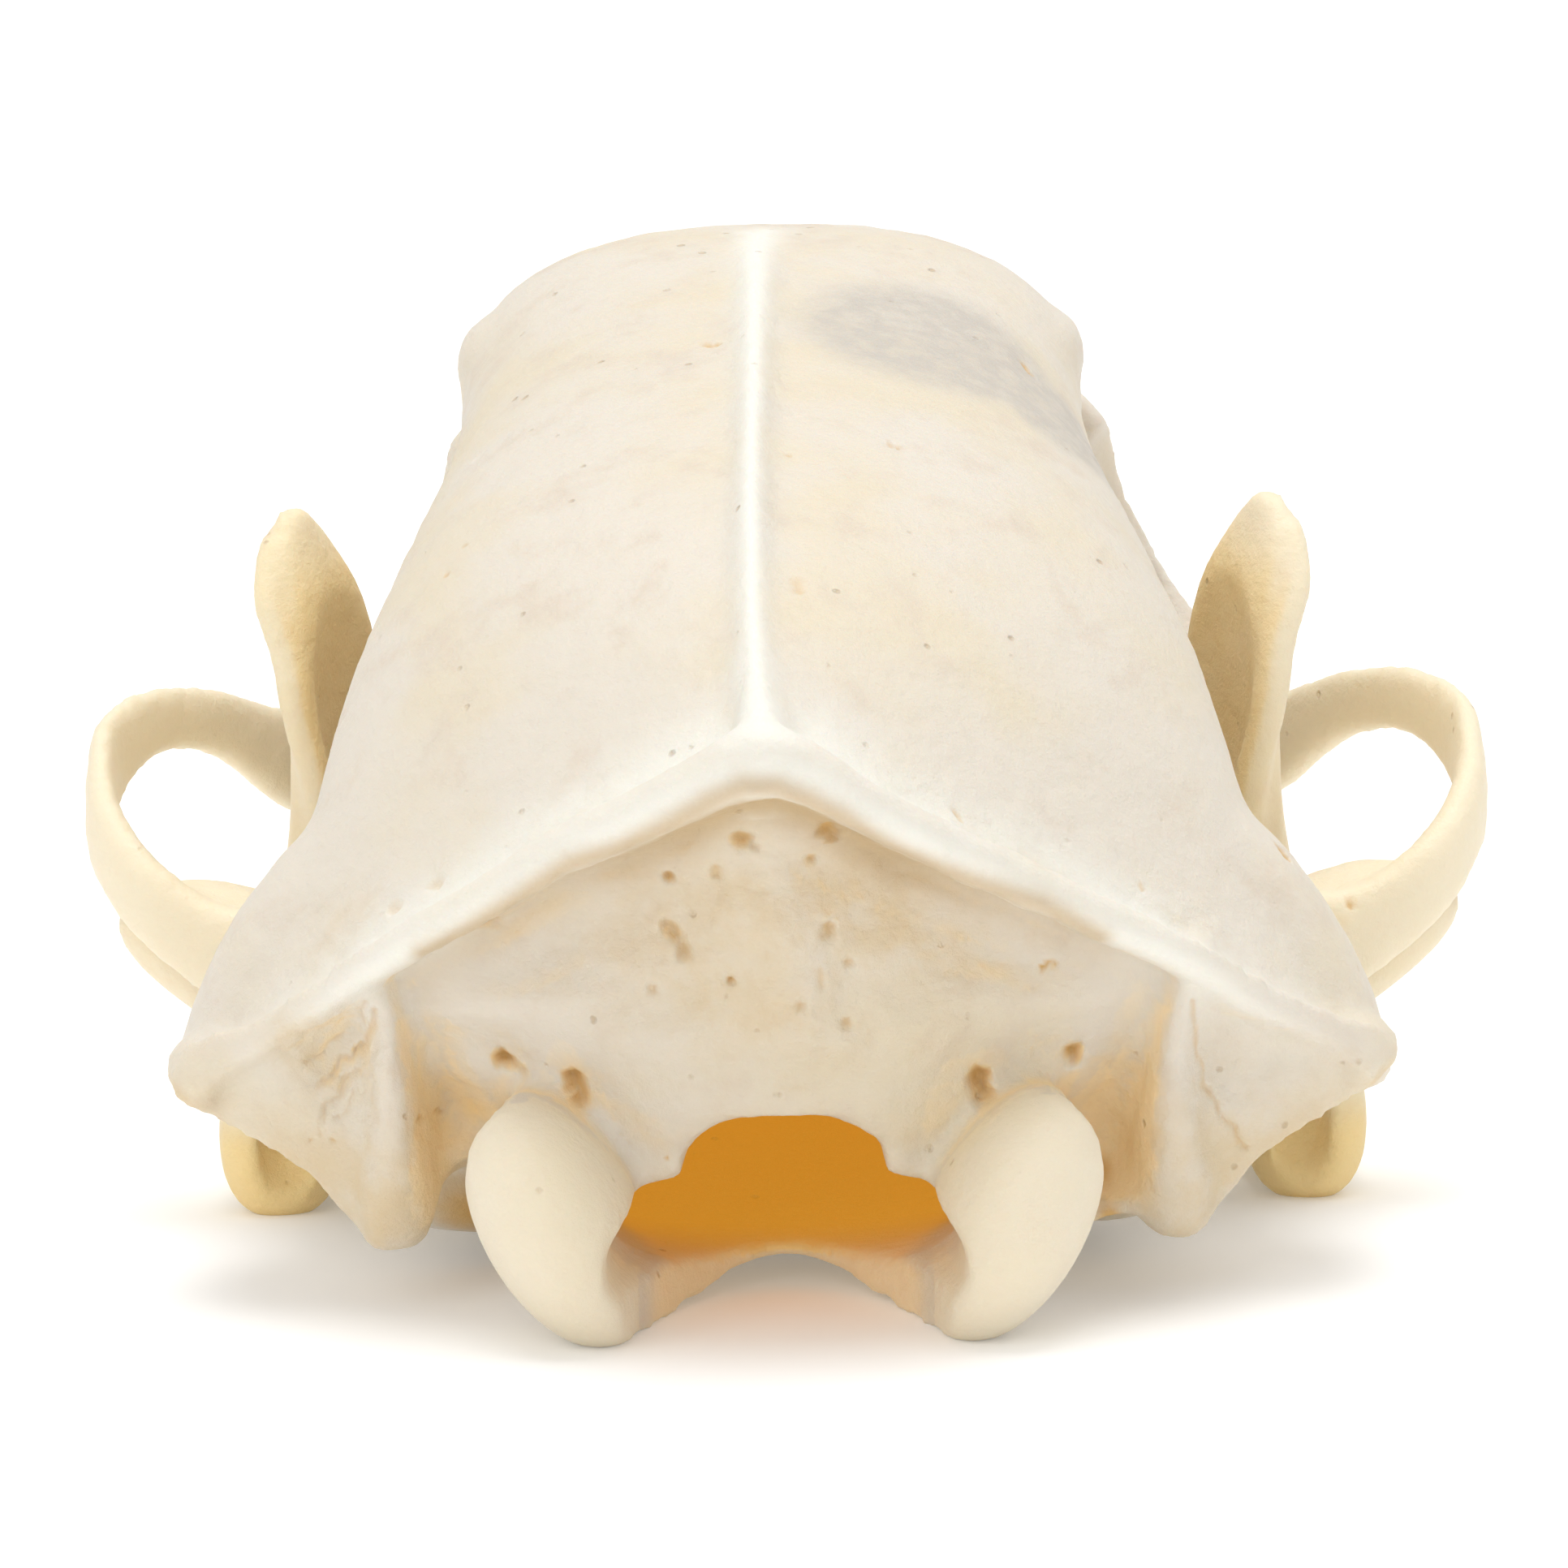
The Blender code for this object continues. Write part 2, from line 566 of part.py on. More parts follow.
def cranium_cuts():
    """Cavities, sockets and notches of the upper skull."""
    low = ((-3, 5.6, -0.3, -2.0, -3.9, 3.0, 2.6), (12, 5.6, -0.3, -2.0, -3.8, 3.0, 2.6))
    high = ((-3, 3.2, 1.8, -0.8, -3.0, 2.8, 2.8), (12, 3.2, 1.8, -0.8, -3.0, 2.8, 2.8))
    notch = ((-9.0, 0, -2.0, 10.2, 5.6), (-2.0, 0, -2.0, 10.2, 5.6))
    nasal = (
        (54, 3.0, 9.5, 6.0, 4.0, 2, 2),
        (58, 4.7, 11.8, 6.4, 2.8, 2.4, 2),
        (62, 5.0, 10.6, 5.8, 2.4, 2.6, 2.2),
        (66, 4.7, 9.1, 5.0, 2.2, 2.6, 2.2),
        (70, 4.4, 9.1, 5.4, 2.4, 2.6, 2.2),
        (74, 4.6, 12.0, 7.0, 3.4, 2, 2),
    )
    choana = (
        (32, 2.8, 0.6, -1.0, -3.8, 2, 2),
        (38, 3.2, 2.9, 0.8, -3.0, 2, 2),
        (47, 2.8, 4.0, 2.6, 1.2, 2, 2),
    )
    palate = (
        (42.8, 4.6, 0.8, -1.0, -3.0, 2, 2),
        (54, 4.8, 0.9, -1.0, -3.0, 2, 2),
        (64, 3.6, 0.8, -1.0, -3.0, 2, 2),
    )
    cuts = [
        body("brain_cavity", BRAIN_CAVITY, 26, 32),
        body("foramen_low", low, 2, 24),
        body("foramen_high", high, 2, 24),
        column("notch", notch, 2, 0.0, 32, 2.6),
        ball("arch_below", (0, 4.6, -8.7), (4.4, 9.0, 4.2)),
        body("nasal_cavity", nasal, 14, 20),
        ball("nasal_slant", (0, 73.4, 10.4), (9.0, 5.6, 6.0), (38, 0, 0)),
        body("choana", choana, 8, 16),
        body("palate_arch", palate, 6, 16),
    ]
    makers = [
        lambda: ball("orbit", (15.4, 44.6, 9.4), (6.2, 5.8, 5.4), (0, -8, 0)),
        lambda: tube("infraorbital", (9.8, 60.0, 4.6), (12.6, 48.0, 6.2), 1.2),
        lambda: tube("ear_canal", (22.0, 17.2, 0.8), (12.6, 18.0, 0.0), 1.3),
        lambda: ball("mastoid_hollow", (16.0, 7.0, 0.8), (2.8, 2.0, 2.6), (0, 40, 0)),
        lambda: ball("condylar_hollow", (10.0, 4.9, 2.0), (1.7, 1.7, 1.9)),
    ]
    return cuts + [piece for make in makers for piece in mirrored(make)]


def crown(name, x, y, gum, length, width, height, lean, splay, upward, yaw):
    """One cusp or simple tooth, from below its gum to its tip."""
    way = 1 if upward else -1
    along = Vector((-math.sin(yaw), math.cos(yaw), 0))
    across = Vector((math.cos(yaw), math.sin(yaw), 0))
    profile = ((-GUM_SINK, 0.86), (0.3 * height, 1.0), (0.72 * height, 0.66), (height, 0.2))
    rings = []
    for up, share in profile:
        t = max(0.0, up / height) ** 1.5
        centre = Vector((x + splay * t, y + lean * t, gum + way * up))
        side, front = across * width / 2 * share, along * length / 2 * share
        rings.append(oval(centre, side, front, front, points=TOOTH_POINTS))
    return loft(name, rings)


def teeth(simple, grinders, gum, upward):
    """Teeth of the right side."""
    pieces = []
    for name, x, y, length, width, height, lean, splay in simple:
        yaw = ROW_YAW[name[0]]
        pieces.append(crown(name, x, y, gum, length, width, height, lean, splay, upward, yaw))
    for group in grinders:
        for x, y, length, width, height in group:
            yaw = CARNASSIAL_YAW if length > 1.5 * width else 0.0
            pieces.append(crown("grinder", x, y, gum, length, width, height, 0, 0, upward, yaw))
    return pieces


def cheekbone():
    return ribbon("cheekbone", ARCH, 34, 14)


def joint_roof():
    return ball("joint_roof", (16.8, 24.4, 2.5), (4.4, 1.9, 1.3), (0, -18, 14))


def joint_room():
    """Space for the hinge of the lower jaw."""
    inner, outer = (Vector(end) for end in HINGE)
    reach = (outer - inner) * 0.3
    return tube("joint_room", inner - reach, outer + reach, HINGE_RADIUS + 0.4)


def floor_block():
    """What lies below the table's top, in the skull's own frame."""
    block = box("floor", (-40.0, -40.0, REST_LEVEL - 30.0), (40.0, 120.0, REST_LEVEL))
    block.data.transform(Matrix.Rotation(-REST_PITCH, 4, "X"))
    return block


def midline_block():
    """Keeps the right half of the jaw off the middle of the skull."""
    return box("midline", (-6.0, 40.0, -20.0), (GAP / 2, 80.0, 10.0))


def snout_plate():
    """Thin cut that parts the snout from the braincase, leaning forward as it rises."""
    plate = box("snout_cut", (-30.0, -GAP / 2, -40.0), (30.0, GAP / 2, 40.0))
    lean = Matrix.Rotation(SNOUT_CUT_LEAN, 4, "X")
    plate.data.transform(Matrix.Translation(Vector((0, SNOUT_CUT_Y, 0)) * MM) @ lean)
    return plate


def make_cranium():
    """Upper skull: forms joined, hollowed, grown together, given teeth and parted into nodes."""
    cranium = make_vault()
    boolean(cranium, skull_base() + [body("maxilla", MAXILLA, 28)] + paired_bones(), "UNION")
    boolean(cranium, cranium_cuts(), "DIFFERENCE")
    boolean(cranium, swayed(mirrored(cheekbone) + mirrored(joint_roof)), "UNION")
    soften(cranium, CRANIUM_VOXEL, 5, CRANIUM_FACES)
    row = teeth(UPPER_TEETH, (CARNASSIAL_UPPER, MOLAR_UPPER), 0.0, False)
    boolean(cranium, row + [twin(tooth, tooth.name + "_left") for tooth in row], "UNION")
    boolean(cranium, [floor_block()] + swayed(mirrored(joint_room)), "DIFFERENCE")
    keep_largest(cranium)
    plates = [snout_plate()] + mirrored(lambda: box("arch_cut", *ARCH_CUT))
    split(cranium, plates, ["braincase", "snout", "cheekbone", "cheekbone_far"])


def make_jaw():
    """Right half of the lower jaw with its teeth, and its twin."""
    jaw = ribbon("mandible_right", JAW_BODY, 36, 16)
    forms = [
        column("ramus", JAW_BLADE, 22, BLADE_YAW, 18),
        tube("jaw_condyle", *HINGE, HINGE_RADIUS),
        ball("condyle_neck", (16.4, 27.0, -2.0), (1.4, 2.9, 2.8), (25, 0, 12)),
        column("back_rim", JAW_RIM, 14, BLADE_YAW, 12),
        ribbon("angle_scoop", ANGLE_SCOOP, 16, 16, 3.0),
    ]
    boolean(jaw, forms, "UNION")
    cuts = [
        ball("masseter_hollow", (18.4, 30.8, 0.6), (2.1, 4.0, 5.0), (0, 0, 18)),
        ball("coronoid_hollow", (14.3, 30.6, 8.6), (1.0, 2.9, 5.6), (0, 0, 20)),
        ribbon("angle_hollow", ANGLE_HOLLOW, 14, 16, 2.6),
    ]
    boolean(jaw, cuts, "DIFFERENCE")
    soften(jaw, JAW_VOXEL, 4, JAW_FACES)
    boolean(jaw, teeth(LOWER_TEETH, (CARNASSIAL_LOWER,), LOWER_GUM, True), "UNION")
    boolean(jaw, [midline_block(), floor_block()], "DIFFERENCE")
    keep_largest(jaw)
    swayed([jaw, twin(jaw, "mandible_left")])


def bone(name, colour, roughness):
    material = bpy.data.materials.new(name)
    material.use_nodes = True
    shader = material.node_tree.nodes["Principled BSDF"]
    shader.inputs["Base Color"].default_value = colour
    shader.inputs["Roughness"].default_value = roughness
    shader.inputs["Metallic"].default_value = 0.0
    return material


def name_cheekbones():
    """The two cheekbones come from the split by size alone, so the side tells them apart."""
    pair = [bpy.data.objects["cheekbone"], bpy.data.objects["cheekbone_far"]]
    pair.sort(key=lambda piece: piece.bound_box[0][0])
    for piece, side in zip(pair, ("left", "right")):
        piece.name = "cheekbone_" + side


def finish():
    """Gives each bone its material and sets the skull on the floor under one empty."""
    home = bpy.data.collections.new("skunk_skull")
    bpy.context.scene.collection.children.link(home)
    pieces = list(bpy.data.objects)
    rest = bpy.data.objects.new("skull_rest", None)
    home.objects.link(rest)
    turn = Matrix.Rotation(REST_PITCH, 4, "X")
    lows, highs = [], []
    for piece in pieces:
        bpy.context.scene.collection.objects.unlink(piece)
        home.objects.link(piece)
        piece.data.materials.clear()
        colour, roughness = LOOKS[piece.name]
        piece.data.materials.append(bone(piece.name + "_bone", colour, roughness))
        spots = np.array([turn @ v.co for v in piece.data.vertices])
        lows.append(spots.min(0))
        highs.append(spots.max(0))
        piece.parent = rest
    low, high = np.min(lows, 0), np.max(highs, 0)
    rest.rotation_euler = (REST_PITCH, 0, 0)
    rest.location = (0, -(low[1] + high[1]) / 2, -low[2])
    bpy.context.view_layer.update()


def main():
    for old in list(bpy.data.objects):
        bpy.data.objects.remove(old)
    make_cranium()
    name_cheekbones()
    make_jaw()
    finish()


if __name__ == "__main__":
    main()
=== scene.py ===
"""Looks of the striped skunk skull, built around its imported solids.

Sizes in the tables are millimetres in the skull's own frame: x to the animal's right, y forward
from the back of the occipital condyles, z up from the gum line of the upper teeth. Each finished
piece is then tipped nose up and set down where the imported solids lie.
"""

import math

import bmesh
import bpy
import numpy as np
from mathutils import Euler, Matrix, Vector, noise
from mathutils.bvhtree import BVHTree


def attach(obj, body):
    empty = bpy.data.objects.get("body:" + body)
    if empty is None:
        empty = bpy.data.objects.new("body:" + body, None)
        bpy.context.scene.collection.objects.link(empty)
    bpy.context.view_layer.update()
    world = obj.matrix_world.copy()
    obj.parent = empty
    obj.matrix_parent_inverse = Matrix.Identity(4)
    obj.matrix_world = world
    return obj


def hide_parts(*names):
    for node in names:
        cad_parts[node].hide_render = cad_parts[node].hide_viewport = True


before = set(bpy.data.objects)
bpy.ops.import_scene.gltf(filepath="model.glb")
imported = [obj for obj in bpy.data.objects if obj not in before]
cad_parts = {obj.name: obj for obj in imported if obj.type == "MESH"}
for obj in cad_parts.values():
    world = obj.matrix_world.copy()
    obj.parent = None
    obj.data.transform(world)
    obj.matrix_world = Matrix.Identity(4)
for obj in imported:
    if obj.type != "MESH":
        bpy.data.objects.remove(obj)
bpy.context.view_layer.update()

bl_info = {
    "name": "Skunk skull",
    "version": (1, 0, 0),
    "blender": (4, 5, 0),
    "location": "View3D > Sidebar > Skull",
    "description": "Models a striped skunk's cleaned skull and the plain table it lies on",
    "category": "Add Mesh",
}

MM = 0.001
REST_PITCH = math.radians(7.4)
REST_SHIFT = Vector((0.0, -33.4701, 4.53)) * MM
REST = Matrix.Translation(REST_SHIFT) @ Matrix.Rotation(REST_PITCH, 4, "X")
# The table's top, in the frame turned by the rest pitch.
REST_LEVEL = -4.53

# Sweep of the back: reach and depth of the crest's bow, and where it fades. Then how far the
# right side droops, and the recess under the crest.
CREST_REACH = 19.4
CREST_BOW = 10.5
CREST_BOW_POWER = 1.3
CREST_FADES_AT = 22.0
CREST_DROOP = 0.9
DROOP_WIDTH = 15.0
DROOP_FROM = 2.0
DROOP_RISE = 5.0
OCCIPUT_RECESS = 4.4
RECESS_FROM = 3.5
RECESS_DROP = 4.5
RECESS_HALF_WIDTH = 14.0
# The arches and the jaw sit this far to the right at y = 0, and not at all past SWAY_FROM. The
# struts before the eye sockets have a sway of their own.
SWAY = 0.5
SWAY_FROM = 60.0
ORBIT_SWAY = 1.9
RING_POINTS = 56
BLADE_YAW = math.radians(20.0)
ORBIT_YAW = math.radians(35.0)
BACK_ENDS_AT = 11.5
# Rounds of smoothing after the forms are grown together, and size of the teeth's mesh cells.
CRANIUM_ROUNDS = 6
JAW_ROUNDS = 5
TOOTH_ROUNDS = 2
TOOTH_GRAIN = 0.2

# Braincase and face: y, half width, top, height of the widest line, bottom, and how square
# the upper and the lower half of the section are.
VAULT = (
    (0.0, 19.4, 14.9, 1.3, -4.3, 1.08, 1.5),
    (0.9, 19.1, 14.9, 1.3, -4.3, 1.09, 1.5),
    (2.4, 18.4, 14.9, 1.6, -4.4, 1.16, 1.5),
    (6.0, 17.2, 15.9, 3.2, -4.6, 1.36, 1.6),
    (10.0, 15.6, 17.0, 6.0, -4.8, 1.68, 2.0),
    (15.0, 14.6, 18.2, 8.5, -4.6, 1.95, 2.4),
    (20.0, 13.9, 19.1, 9.9, -4.0, 2.08, 2.5),
    (27.0, 12.5, 20.0, 11.6, -2.8, 2.15, 2.2),
    (33.0, 11.3, 20.5, 13.0, -1.0, 2.2, 1.8),
    (38.0, 10.7, 20.9, 14.2, 0.5, 2.35, 1.5),
    (42.0, 10.7, 21.1, 15.0, 1.0, 2.5, 1.4),
    (46.0, 10.4, 20.65, 14.4, 1.2, 2.5, 1.4),
    (50.0, 9.9, 19.2, 12.0, 0.4, 2.4, 1.6),
    (53.0, 9.5, 17.4, 9.4, 0.0, 2.35, 2.1),
    (58.0, 8.7, 14.0, 6.2, -0.2, 2.3, 2.6),
    (62.0, 7.7, 11.8, 4.6, -0.2, 2.3, 2.6),
    (65.5, 6.8, 9.8, 3.8, -0.2, 2.2, 2.4),
    (68.0, 5.2, 6.4, 2.8, 0.0, 2.1, 2.2),
    (69.6, 3.2, 3.2, 1.8, 0.6, 2.0, 2.0),
)
# The back of the skull inside the crest: how much of the crest's outline, and how far forward.
DISH_MIDDLE = 3.0
OCCIPUT_DISH = (
    (0.985, -0.25),
    (0.95, -0.45),
    (0.905, -0.2),
    (0.87, 0.6),
    (0.83, 1.7),
    (0.77, 2.6),
    (0.6, 3.2),
    (0.4, 3.4),
    (0.2, 3.5),
)
# The next tables of sections have the columns of the vault.
EAR_FLARE_X = 9.5
EAR_FLARE = (
    (10.4, 8.8, 7.0, 0.6, -0.8, 1.5, 1.5),
    (12.6, 9.9, 10.4, 0.0, -1.5, 1.65, 1.4),
    (15.0, 9.9, 11.0, -0.4, -2.2, 1.7, 1.4),
    (18.0, 9.1, 9.6, -0.1, -2.4, 1.75, 1.5),
    (22.0, 7.2, 7.2, 0.8, -1.0, 1.7, 1.6),
    (24.4, 4.6, 4.6, 2.0, 0.8, 2.0, 2.0),
)
BRAIN_CAVITY = (
    (7.0, 5.8, 3.5, -1.5, -4.0, 2.0, 3.0),
    (9.5, 7.5, 10.3, 2.5, -4.3, 2.0, 3.0),
    (11.2, 9.6, 13.2, 4.3, -4.4, 2.0, 2.8),
    (13.6, 11.9, 15.7, 6.2, -4.4, 2.0, 2.8),
    (18.0, 12.4, 17.4, 8.4, -3.7, 2.1, 2.6),
    (24.0, 11.4, 18.4, 10.2, -2.2, 2.1, 2.2),
    (30.0, 9.9, 19.0, 11.8, 2.6, 2.1, 1.8),
    (35.0, 8.6, 18.8, 13.0, 6.2, 2.1, 1.6),
    (39.0, 6.6, 17.4, 13.4, 9.2, 2.0, 1.6),
    (41.5, 3.4, 15.4, 13.2, 11.0, 2.0, 2.0),
)
MAXILLA = (
    (42.2, 6.0, 3.6, 1.6, 0.2, 2.2, 2.6),
    (43.2, 11.4, 4.0, 1.6, 0.0, 2.2, 3.0),
    (46.5, 13.8, 4.6, 1.8, 0.0, 2.2, 3.2),
    (50.0, 12.8, 5.6, 2.0, 0.0, 2.2, 3.2),
    (54.0, 10.9, 6.4, 2.2, 0.0, 2.2, 3.2),
    (58.0, 9.3, 6.6, 2.4, 0.0, 2.2, 3.2),
    (62.0, 8.1, 7.0, 2.6, 0.0, 2.2, 3.2),
    (65.0, 6.9, 6.6, 2.6, 0.0, 2.2, 3.0),
    (68.0, 5.2, 4.6, 2.2, 0.0, 2.2, 2.8),
    (69.8, 3.2, 2.8, 1.6, 0.4, 2.0, 2.4),
)
SKULL_BASE = (
    (6.0, 8.0, 2.5, -2.0, -5.3, 2.0, 2.8),
    (12.0, 8.4, 3.0, -2.0, -5.7, 2.0, 3.2),
    (22.0, 7.6, 4.0, -1.5, -4.8, 2.0, 3.0),
    (34.0, 5.4, 6.0, 0.0, -1.4, 2.0, 3.0),
    (41.6, 4.6, 8.0, 3.0, 1.4, 2.0, 3.0),
)
# Ridge along the roof: x, y, height of its middle, half thickness, half height.
SAGITTAL_CREST = (
    (-0.5, 0.3, 14.3, 0.75, 1.0),
    (-0.6, 6, 15.4, 0.5, 0.95),
    (-0.6, 14, 17.6, 0.45, 0.9),
    (-0.5, 24, 19.35, 0.45, 0.85),
    (-0.4, 33, 20.3, 0.55, 0.75),
    (-0.3, 40, 20.75, 0.8, 0.55),
    (-0.2, 45, 20.4, 1.3, 0.4),
)
# Rounded band of the nuchal crest: x, y, z, half thickness, half height.
NUCHAL_BAND = (
    (-19.0, 10.6, 1.6, 0.7, 0.8),
    (-16.2, 8.7, 3.2, 0.7, 0.75),
    (-13.5, 7.0, 5.5, 0.7, 0.75),
    (-11.5, 5.7, 7.3, 0.8, 0.8),
    (-9.5, 4.5, 8.8, 0.85, 0.85),
    (-8.0, 3.7, 10.0, 0.85, 0.9),
    (-6.3, 2.8, 11.3, 0.85, 0.9),
    (-4.6, 2.0, 12.3, 0.85, 0.9),
    (-3.1, 1.3, 13.3, 0.85, 0.9),
    (-1.5, 0.75, 14.2, 0.85, 0.9),
    (-0.2, 0.5, 14.5, 0.9, 0.9),
    (1.2, 0.7, 14.0, 0.85, 0.9),
    (3.0, 1.3, 12.6, 0.85, 0.9),
    (4.6, 2.0, 11.5, 0.85, 0.9),
    (6.2, 2.8, 10.4, 0.85, 0.9),
    (8.0, 3.7, 9.3, 0.85, 0.9),
    (9.7, 4.6, 8.1, 0.85, 0.85),
    (11.8, 5.9, 6.7, 0.8, 0.8),
    (14.9, 7.9, 4.0, 0.7, 0.75),
    (17.3, 9.5, 2.5, 0.7, 0.75),
    (19.0, 10.7, 1.5, 0.7, 0.8),
)
# Cheekbone ribbon: the same columns as the ridge.
ARCH = (
    (9.0, 51.6, 3.2, 1.5, 2.0),
    (12.4, 48.4, 2.9, 1.4, 2.1),
    (14.8, 45.6, 2.6, 1.0, 2.0),
    (17.0, 42.6, 2.4, 0.75, 2.0),
    (19.6, 38.8, 4.95, 0.65, 1.3),
    (21.6, 35.3, 6.0, 0.55, 1.25),
    (22.8, 31.7, 5.7, 0.5, 1.75),
    (22.9, 28.6, 4.9, 0.55, 2.1),
    (22.5, 26.2, 4.4, 0.65, 1.6),
    (21.1, 24.0, 3.1, 0.8, 1.6),
    (18.4, 22.9, 1.4, 0.85, 1.8),
    (15.5, 22.4, 1.2, 1.0, 2.6),
    (12.5, 22.0, 1.8, 1.3, 3.0),
    (9.8, 21.6, 3.6, 1.6, 2.6),
)
# Inner and outer end of the jaw's hinge, and its thickness.
HINGE = ((13.8, 24.4, -3.6), (22.3, 26.5, 2.0))
HINGE_RADIUS = 1.35
# Ribbon of the lower jaw's body.
JAW_BODY = (
    (0.9, 67.4, -6.3, 0.9, 1.3),
    (1.6, 66.4, -6.9, 1.7, 2.0),
    (2.2, 64.2, -7.3, 2.2, 2.5),
    (2.6, 61.5, -7.6, 2.3, 2.8),
    (3.5, 58.5, -7.8, 2.0, 2.9),
    (5.1, 55.5, -7.9, 1.8, 3.0),
    (7.5, 51.5, -7.9, 1.8, 3.0),
    (9.3, 47.5, -7.8, 1.9, 3.0),
    (11.1, 43.5, -7.6, 1.9, 2.9),
    (12.9, 39.5, -7.0, 1.8, 2.9),
    (14.5, 35.5, -6.2, 1.6, 2.8),
    (15.6, 31.5, -5.6, 1.4, 2.6),
    (16.0, 27.5, -5.4, 1.2, 2.3),
    (16.1, 24.6, -5.6, 0.9, 1.9),
)
# Blades and horns: height, x and y of the middle, half length, half thickness.
JAW_BLADE = (
    (-7.4, 15.9, 30.6, 4.4, 1.1),
    (-4.0, 15.8, 30.4, 5.4, 1.2),
    (0.0, 15.6, 31.4, 4.2, 1.1),
    (4.0, 15.1, 31.6, 3.7, 0.95),
    (8.0, 15.1, 31.4, 3.5, 0.8),
    (11.0, 15.4, 31.2, 2.9, 0.7),
    (13.2, 16.1, 31.3, 1.9, 0.6),
    (14.4, 16.4, 31.4, 0.8, 0.4),
)
JAW_RIM = (
    (0.0, 15.5, 28.3, 0.9, 0.8),
    (3.4, 15.35, 28.2, 0.8, 0.7),
    (5.4, 15.5, 28.0, 0.75, 0.6),
    (8.3, 16.15, 28.0, 0.75, 0.6),
    (10.2, 16.45, 28.5, 0.8, 0.6),
    (12.0, 17.0, 29.4, 0.9, 0.6),
    (13.8, 16.9, 30.6, 0.7, 0.5),
)
PAROCCIPITAL = (
    (6.4, 12.9, 8.8, 2.2, 0.7),
    (4.0, 12.5, 8.5, 2.2, 0.75),
    (1.5, 12.15, 8.6, 2.3, 0.9),
    (-1.5, 12.2, 8.9, 2.1, 1.3),
    (-2.8, 12.3, 8.6, 1.5, 1.3),
    (-3.6, 12.4, 8.4, 0.7, 0.8),
)
# Plate beside each paroccipital process: height, its inner and its outer edge.
SIDE_PLATE = (
    (-3.6, 11.8, 12.8),
    (-3.1, 11.4, 13.5),
    (-2.4, 11.2, 14.2),
    (-1.6, 11.1, 14.8),
    (-0.9, 11.2, 15.8),
    (0.1, 11.4, 17.4),
    (0.8, 11.6, 18.7),
    (1.6, 11.8, 18.7),
    (2.6, 12.0, 17.3),
    (4.0, 12.1, 15.5),
    (5.2, 12.2, 13.8),
)
PLATE_YAW = math.radians(-64.2)
PLATE_THICKNESS = 0.8
# Strut before each eye socket, with the columns of the blades.
ORBIT_FRONT = (
    (1.0, 12.2, 49.4, 4.0, 1.6),
    (3.4, 12.9, 49.2, 4.2, 1.6),
    (5.4, 12.7, 49.2, 4.2, 1.6),
    (7.6, 12.0, 49.2, 4.0, 1.5),
    (9.6, 11.1, 49.3, 3.8, 1.4),
    (12.0, 10.0, 49.4, 3.4, 1.2),
    (14.0, 8.8, 49.4, 2.6, 1.0),
)
# Ribbons at the jaw's angle: the bone there, and the hollow in it.
ANGLE_SCOOP = (
    (16.9, 22.4, -5.4, 1.2, 1.7),
    (17.05, 23.6, -5.3, 2.0, 2.6),
    (17.05, 26.5, -5.2, 2.0, 2.6),
    (16.7, 30.0, -5.0, 1.5, 2.4),
    (16.2, 33.0, -4.9, 1.1, 2.0),
)
ANGLE_HOLLOW = (
    (16.75, 20.0, -4.6, 1.05, 2.2),
    (16.75, 22.0, -4.6, 1.05, 2.2),
    (16.8, 23.0, -4.3, 0.85, 1.8),
    (16.9, 23.8, -4.0, 0.4, 0.9),
)
# Ribbon of each pterygoid plate.
PTERYGOID = (
    (4.9, 42.0, 1.6, 1.1, 3.0),
    (4.5, 37.0, -0.4, 0.9, 3.0),
    (4.3, 32.0, -1.8, 0.8, 2.6),
    (4.2, 28.6, -3.6, 0.6, 1.2),
)
# Openings, as sections: the foramen magnum, then the nose, its opening at the throat and the
# arch of the palate. The notch under the foramen is cut by an upright blade instead.
FORAMEN_LOW = ((-3, 5.6, -0.3, -2.0, -3.9, 3.0, 2.6), (12, 5.6, -0.3, -2.0, -3.8, 3.0, 2.6))
FORAMEN_HIGH = ((-3, 3.2, 1.8, -0.8, -3.0, 2.8, 2.8), (12, 3.2, 1.8, -0.8, -3.0, 2.8, 2.8))
BASION_NOTCH = ((-9.0, 0, -2.0, 12.3, 5.4), (-2.0, 0, -2.0, 12.3, 5.4))
NASAL_CAVITY = (
    (54, 3.0, 9.5, 6.0, 4.0, 2, 2),
    (58, 4.7, 11.8, 6.4, 2.8, 2.4, 2),
    (62, 5.0, 10.6, 5.8, 2.4, 2.6, 2.2),
    (66, 4.7, 9.1, 5.0, 2.2, 2.6, 2.2),
    (70, 4.4, 9.1, 5.4, 2.4, 2.6, 2.2),
    (74, 4.6, 12.0, 7.0, 3.4, 2, 2),
)
CHOANA = (
    (32, 2.8, 0.6, -1.0, -3.8, 2, 2),
    (38, 3.2, 2.9, 0.8, -3.0, 2, 2),
    (47, 2.8, 4.0, 2.6, 1.2, 2, 2),
)
PALATE = (
    (42.8, 4.6, 0.8, -1.0, -3.0, 2, 2),
    (54, 4.8, 0.9, -1.0, -3.0, 2, 2),
    (64, 3.6, 0.8, -1.0, -3.0, 2, 2),
)

